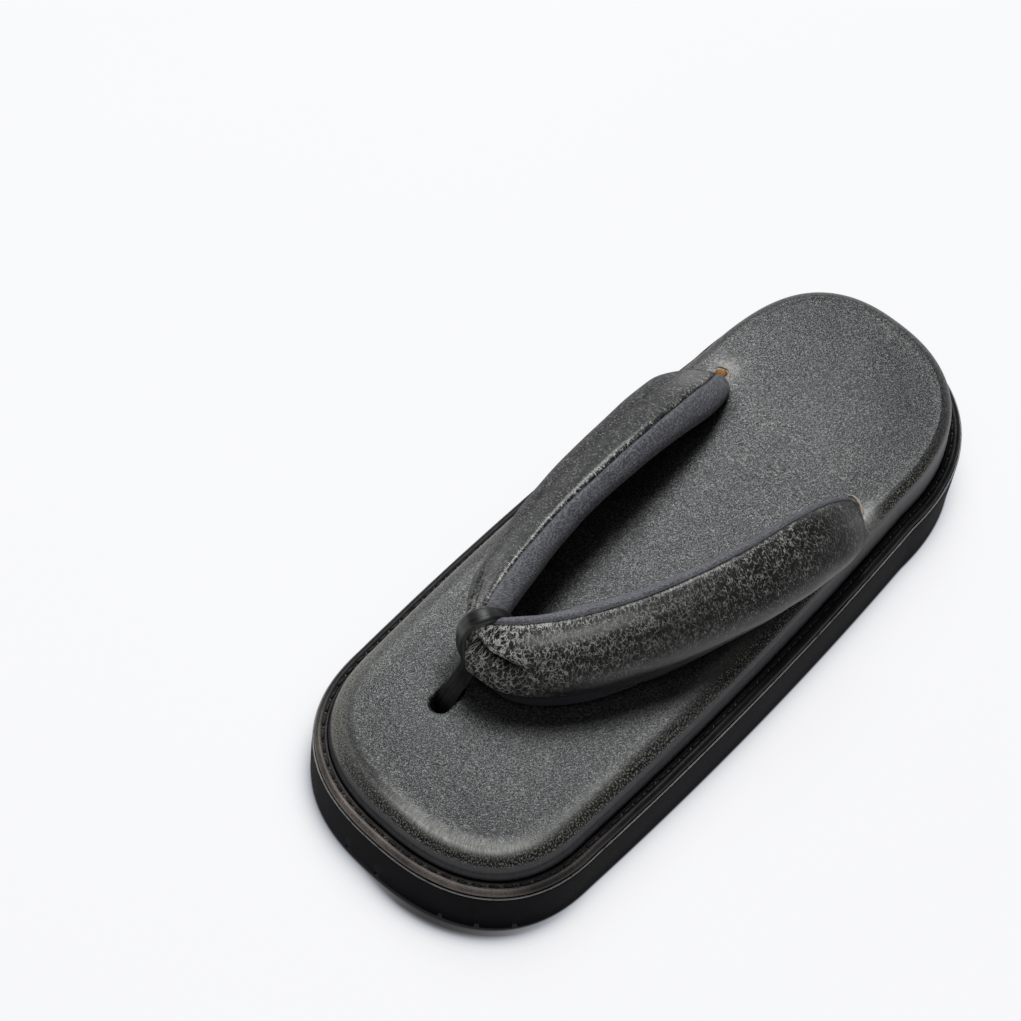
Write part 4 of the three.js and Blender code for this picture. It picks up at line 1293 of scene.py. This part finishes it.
def floor():
    """Pale paper in rings round the sole, lit by its own even glow, with a painted contact shadow close to it."""
    o = Outline(240)
    gaps = (-6.0, 0.0, 0.7, 1.4, 2.2, 3.2, 4.5, 6.0, 8.0, 10.5, 14.0, 19.0, 27.0, 40.0, 65.0, 120.0, 300.0, 900.0, 3000.0, 9000.0)
    base = o.inset(0.2) + SOLE_SHIFT
    away = base - np.c_[np.zeros(o.n), np.clip(base[:, 1], -80, 70)]
    away /= np.linalg.norm(away, axis=1)[:, None]
    toe = smooth(-away[:, 1], 0.1, 0.95)
    front = toe * smooth(away @ np.array([0.69, -0.72]), 0.58, 0.95)
    depth, reach, flat = 0.42 + 0.36 * toe + 0.19 * front, 3.4 - 0.9 * front, 2.8 * front
    rows, near = [], []
    for d in gaps:
        rows.append(np.c_[base + away * d, np.full(o.n, -0.05)])
        far = max(d, 0.0)
        # painted contact shadow: strongest and widest under the toe, fading outward
        near.append(np.maximum(depth * np.exp(-(np.maximum(far - flat, 0.0) / reach) ** 1.15), math.exp(-(far / 0.55) ** 2)))
    q = grid_faces(len(gaps), o.n).tolist()
    q.append(list(range(o.n))[::-1])
    gr = Graph("floor_paper", Metallic=0.0)
    p = gr.position()
    shade = gr.value("near")
    paper = gr.mix(gr.step(gr.grain(p, 0.004, 2.0, 0.5), 0.3, 0.7), (0.074, 0.076, 0.078), (0.080, 0.082, 0.084))
    # painted contact shadow: colour and glow fall through steel blue to near-black close to the sole
    gr.set("Base Color", gr.mix(shade, paper, (0.02, 0.02, 0.022)))
    gr.set("Emission Color", gr.mix(shade, (0.985, 0.985, 1.0), gr.mix(gr.step(shade, 0.45, 0.92), (0.020, 0.060, 0.125), (0.016, 0.016, 0.018))))
    gr.set("Emission Strength", 0.90)
    gr.set("Roughness", 0.9)
    gr.set("Specular IOR Level", 0.1)
    obj = mesh_object("floor", np.vstack(rows), q, [gr.material], None, {"near": np.concatenate(near)})
    return obj


floor()

world = bpy.data.worlds.new("studio") if not scene.world else scene.world
scene.world = world
world.use_nodes = True
back = world.node_tree.nodes.get("Background") or world.node_tree.nodes.new("ShaderNodeBackground")
back.inputs["Color"].default_value = (0.94, 0.96, 1.0, 1.0)
back.inputs["Strength"].default_value = 0.05


def area_light(name, place, size, power, target=(0, 0, 0.03), colour=(1, 1, 1)):
    data = bpy.data.lights.new(name, "AREA")
    data.shape = "RECTANGLE"
    data.size, data.size_y = size
    data.energy = power
    data.color = colour
    o = bpy.data.objects.new(name, data)
    scene.collection.objects.link(o)
    o.location = place
    o.rotation_mode = "QUATERNION"
    o.rotation_quaternion = (Vector(target) - Vector(place)).to_track_quat("-Z", "Y")
    return o


area_light("key", (-0.50, 0.45, 1.15), (0.5, 0.5), 11.0, colour=(0.965, 0.982, 1.0))
area_light("side_box", (0.50, -0.16, 1.30), (0.5, 0.7), 1.5)
area_light("front_box", (-0.08, -0.40, 1.35), (0.6, 0.45), 1.6)
area_light("back_card", (-0.45, 1.05, 0.34), (1.2, 0.6), 1.5)
area_light("left_card", (-1.05, 0.10, 0.34), (1.1, 0.6), 1.3)

CAMERA = dict(azimuth=43.63, elevation=59.44, distance=1215.02, target=(-68.34, -2.45, 0.0), focal_px=3313.19, width_px=1021)
az, el = math.radians(CAMERA["azimuth"]), math.radians(CAMERA["elevation"])
back_dir = Vector((math.sin(az) * math.cos(el), -math.cos(az) * math.cos(el), math.sin(el)))
right_dir = Vector((math.cos(az), math.sin(az), 0))
up_dir = back_dir.cross(right_dir)
place = (Vector(CAMERA["target"]) + back_dir * CAMERA["distance"]) * MM
cam_data = bpy.data.cameras.new("camera")
cam_data.sensor_width = 36.0
cam_data.lens = CAMERA["focal_px"] / CAMERA["width_px"] * 36.0
cam_data.clip_start, cam_data.clip_end = 0.01, 20.0
camera = bpy.data.objects.new("camera", cam_data)
scene.collection.objects.link(camera)
camera.matrix_world = Matrix((
    (right_dir.x, up_dir.x, back_dir.x, place.x),
    (right_dir.y, up_dir.y, back_dir.y, place.y),
    (right_dir.z, up_dir.z, back_dir.z, place.z),
    (0, 0, 0, 1)))
scene.camera = camera

scene.view_settings.view_transform = "Standard"
scene.view_settings.look = "None"
